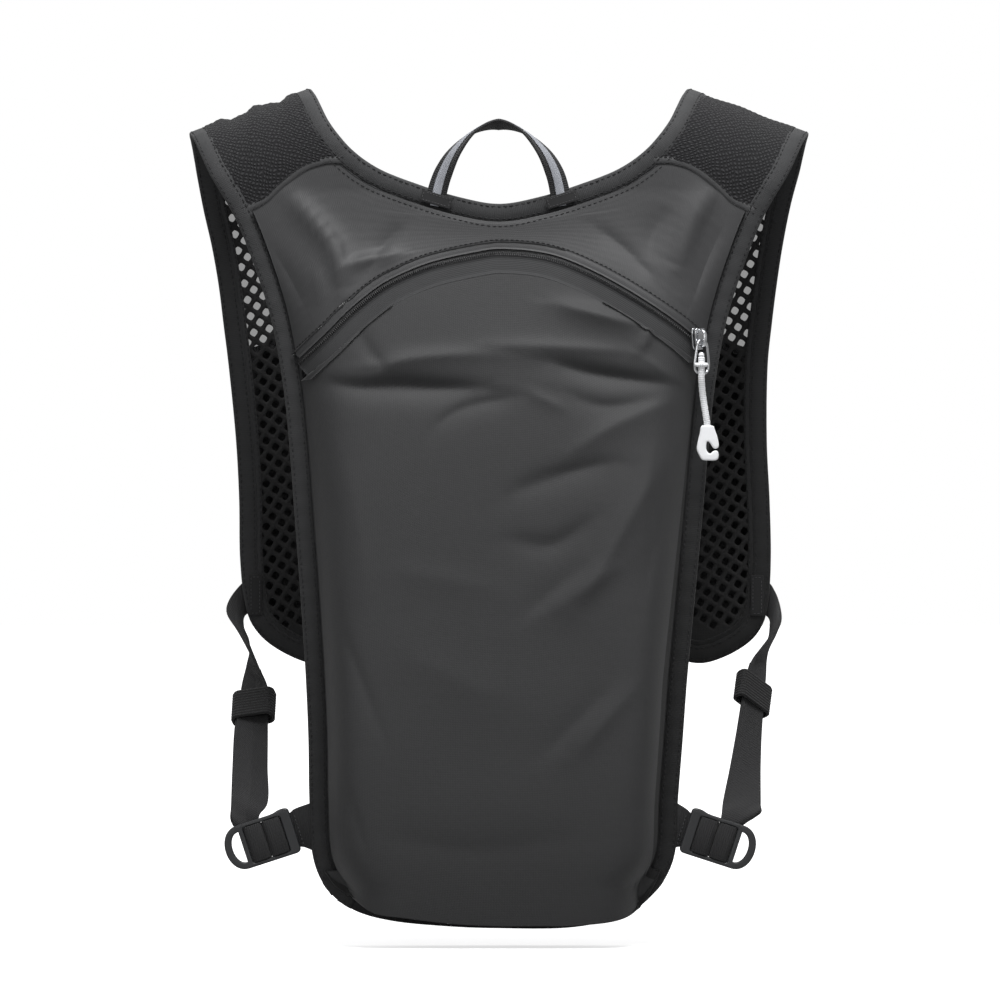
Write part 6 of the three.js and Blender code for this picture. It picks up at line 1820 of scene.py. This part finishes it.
for side in sides.values():
    place = lock_place(side)
    finish_piece(ladder_lock(side), "buckle", "ladder_lock_" + side.name)
    outer, inner = strap_sides(side)
    strap = joined(
        "strap_" + side.name,
        ribbon("strap_main_" + side.name, outer, inner, WEBBING_THICKNESS, [WEB]),
        ribbon("strap_tail_" + side.name, tail_of(outer, inner, outer), tail_of(outer, inner, inner),
               WEBBING_THICKNESS, [WEB]),
        wrapped("strap_fold_" + side.name, place, NEAR_BAR, [WEB]),
    )
    finish_piece(strap, "webbing", "side_strap_" + side.name)
    finish_piece(keeper_of(side, outer, inner), "elastic", "keeper_" + side.name)

    # Tab of webbing between the lock and the edge of the pack
    level = -BEHIND - WEBBING_THICKNESS / 2
    rows = [(FAR_BAR, 9.0), (LOCK_END, 9.0), (LOCK_END + 2, 10.0)]
    upper = [place.at(u, half, level) for u, half in rows]
    lower = [place.at(u, -half, level) for u, half in rows]
    for line, v in ((upper, 12.5), (lower, -12.5)):
        point = place.at(LOCK_END + 5, v, level)
        edge_share = value_at(ARM_EDGE, 0, 1 if side.sign < 0 else 2, -point[2] / LENGTH)
        point[0] = side.sign * (edge_share * HALF_WIDTH - 0.2)
        line.append(point)
    tab = joined("tab_web_" + side.name,
                 ribbon("tab_strip_" + side.name, upper, lower, WEBBING_THICKNESS, [WEB]),
                 wrapped("tab_fold_" + side.name, place, FAR_BAR, [WEB]))
    finish_piece(tab, "webbing", "buckle_tab_" + side.name)
    row = np.array([place.at(LOCK_END + 1.8, v, level + 0.75) for v in (-8.5, 8.5)])
    stitches = dashes("tab_stitches_" + side.name, row, [place.w] * 2, THREAD, pitch=2.0, width=0.5,
                      height=0.3)
    finish_piece(stitches, "webbing")

    # Small tab that holds the strap's end on the front strap
    hold = (outer[0] + inner[0]) / 2
    centre = (hold[0] - side.sign, HALF_DEPTH - BINDING_THICKNESS / 2 - GAP - 0.5, hold[2])
    small = Place((1, 0, 0), (0, 0, 1), (0, -1, 0), centre)
    patch_outline = rounded_box((-3.25, -10.5), (3.25, 10.5), 0.8, 3)
    patch_tab = moulded("small_tab_" + side.name, patch_outline, [], 1.0, 0.3, small, [DARK_TAPE])
    finish_piece(patch_tab, "edge_tape", "side_tab_" + side.name)
    stitches = sewn_box("small_tab_stitches_" + side.name, small.at(0, 0, 0.5), small.u, small.v, small.w,
                        4.4, 18.5, THREAD, pitch=1.9, width=0.4, height=0.3)
    finish_piece(stitches, "edge_tape")

# Strap over the chest, hidden behind the pack
CHEST_Z = -0.38 * LENGTH
CHEST_Y = HALF_DEPTH + BINDING_THICKNESS / 2 + GAP + WEBBING_THICKNESS / 2
chest_ends = []
for side in sides.values():
    run = run_at(side.sign * 0.45 * HALF_WIDTH, CHEST_Z, 1)
    chest_ends.append(x_at(side.over_neck, 1, run) - side.sign * BINDING_WIDTH / 4)


def chest_line(up, start, end):
    line = []
    for t in np.linspace(start, end, 25):
        x = chest_ends[0] + (chest_ends[1] - chest_ends[0]) * t
        line.append(np.array([x, CHEST_Y + 10 * math.sin(math.pi * t) ** 2, CHEST_Z + up * 10.0]))
    return line


clasp = Place((1, 0, 0), (0, 0, 1), (0, 1, 0), (0, CHEST_Y + 10, CHEST_Z))
male = rounded_box((-17, -13), (-0.4, 13), 3.5, 6)
female = rounded_box((0.4, -13), (17, 13), 3.5, 6)
male_slot = rounded_box((-15, -10.6), (-11.6, 10.6), 0.8, 3)
female_slot = rounded_box((11.6, -10.6), (15, 10.6), 0.8, 3)
chest = joined(
    "chest_webbing",
    ribbon("chest_left", chest_line(1, 0, 0.42), chest_line(-1, 0, 0.42), WEBBING_THICKNESS, [WEB, PLASTIC]),
    ribbon("chest_right", chest_line(1, 0.58, 1), chest_line(-1, 0.58, 1), WEBBING_THICKNESS, [WEB]),
    moulded("clasp_male", male, [male_slot], 6.0, 1.2, clasp, [PLASTIC]),
    moulded("clasp_female", female, [female_slot], 7.0, 1.4, clasp, [PLASTIC]),
    moulded("clasp_prong", rounded_box((-5, -6.5), (5, 6.5), 1.5, 4), [], 5.0, 0.8, clasp, [PLASTIC]),
)
finish_piece(chest, "webbing", "chest_strap")
for sign, end in ((-1, 0), (1, 1)):
    x = chest_ends[end] - sign * 6.0
    spot = np.array([x, CHEST_Y + 0.95, CHEST_Z])
    finish_piece(sewn_box("chest_stitches_%s" % ("left" if sign < 0 else "right"), spot, (1, 0, 0), (0, 0, 1),
                          (0, 1, 0), 9.0, 16.0, THREAD, pitch=2.2, cross=True), "webbing")


# Camera: square on to the pack, far away, so that a picture is half a metre wide
PIXEL = 0.0005
VIEW_WIDTH = 0.5
DISTANCE = 3.6
centre_x, centre_z = 1 * PIXEL, (108 - 500) * PIXEL
camera_data = bpy.data.cameras.new("camera")
camera_data.sensor_width = 36.0
camera_data.lens = 36.0 * (DISTANCE - 0.055) / VIEW_WIDTH
camera = bpy.data.objects.new("camera", camera_data)
bpy.context.scene.collection.objects.link(camera)
camera.location = (centre_x, -DISTANCE, centre_z)
camera.rotation_euler = (math.radians(90), 0, 0)
bpy.context.scene.camera = camera

# White floor, which glows more the further it is from the vest, to the camera alone
FLOOR = -0.4195
FLOOR_REACH = 9.0
FLOOR_GLOW = {"From Min": 0.45, "From Max": 1.6, "To Min": 0.62, "To Max": 1.1}


def backdrop():
    verts = [(x * FLOOR_REACH, y * FLOOR_REACH, FLOOR) for x, y in ((-1, -1), (1, -1), (1, 1), (-1, 1))]
    mesh = bpy.data.meshes.new("backdrop")
    mesh.from_pydata(verts, [], [(0, 1, 2, 3)])
    stage = bpy.data.objects.new("backdrop", mesh)
    bpy.context.scene.collection.objects.link(stage)
    n = Nodes("paper")
    seen = n.tree.nodes.new("ShaderNodeLightPath").outputs["Is Camera Ray"]
    n.finish(n.mix(seen, (0.42, 0.42, 0.42), (0.97, 0.97, 0.975)), 0.9)
    n.shader.inputs["Specular IOR Level"].default_value = 0.0
    n.shader.inputs["Emission Color"].default_value = (1, 1, 1, 1)
    far = n.tree.nodes.new("ShaderNodeVectorMath")
    far.operation = "LENGTH"
    n.tree.links.new(n.place(1.0), far.inputs[0])
    glow = n.add("ShaderNodeMapRange", Value=far.outputs["Value"])
    for name, value in FLOOR_GLOW.items():
        glow.inputs[name].default_value = value
    n.tree.links.new(n.math("MULTIPLY", seen, glow.outputs[0]), n.shader.inputs["Emission Strength"])
    mesh.materials.append(n.material)
    return stage


backdrop()


def lamp(name, place, target, size, power, tall=None):
    data = bpy.data.lights.new(name, "AREA")
    data.energy = power
    data.size = size
    if tall:
        data.shape = "RECTANGLE"
        data.size_y = tall
    light = bpy.data.objects.new(name, data)
    light.location = place
    light.rotation_euler = (Vector(target) - Vector(place)).to_track_quat("-Z", "Y").to_euler()
    bpy.context.scene.collection.objects.link(light)
    return light


lamp("top_light", (0.08, -0.40, 0.62), (0, -0.04, -0.2), 0.4, 8.5)
lamp("rear_light", (0, 0.7, 1.3), (0, 0, -0.4), 1.2, 7)
lamp("front_left", (-1.0, -3.0, 0.5), (0, 0, -0.2), 1.0, 8)
lamp("front_right", (1.1, -3.0, 0.4), (0, 0, -0.2), 1.0, 5)
# The world lights the vest softly and is white to the camera
WORLD_LIGHT, WORLD_SEEN = 0.36, 1.0
world = bpy.data.worlds.new("studio")
world.use_nodes = True
world.node_tree.nodes["Background"].inputs["Color"].default_value = (1, 1, 1, 1)
camera_ray = world.node_tree.nodes.new("ShaderNodeLightPath").outputs["Is Camera Ray"]
strength = world.node_tree.nodes.new("ShaderNodeMapRange")
strength.inputs["To Min"].default_value = WORLD_LIGHT
strength.inputs["To Max"].default_value = WORLD_SEEN
world.node_tree.links.new(camera_ray, strength.inputs["Value"])
world.node_tree.links.new(strength.outputs[0], world.node_tree.nodes["Background"].inputs["Strength"])
bpy.context.scene.world = world
bpy.context.scene.view_settings.view_transform = "Standard"


for name, side in sides.items():
    pocket_grid(side)
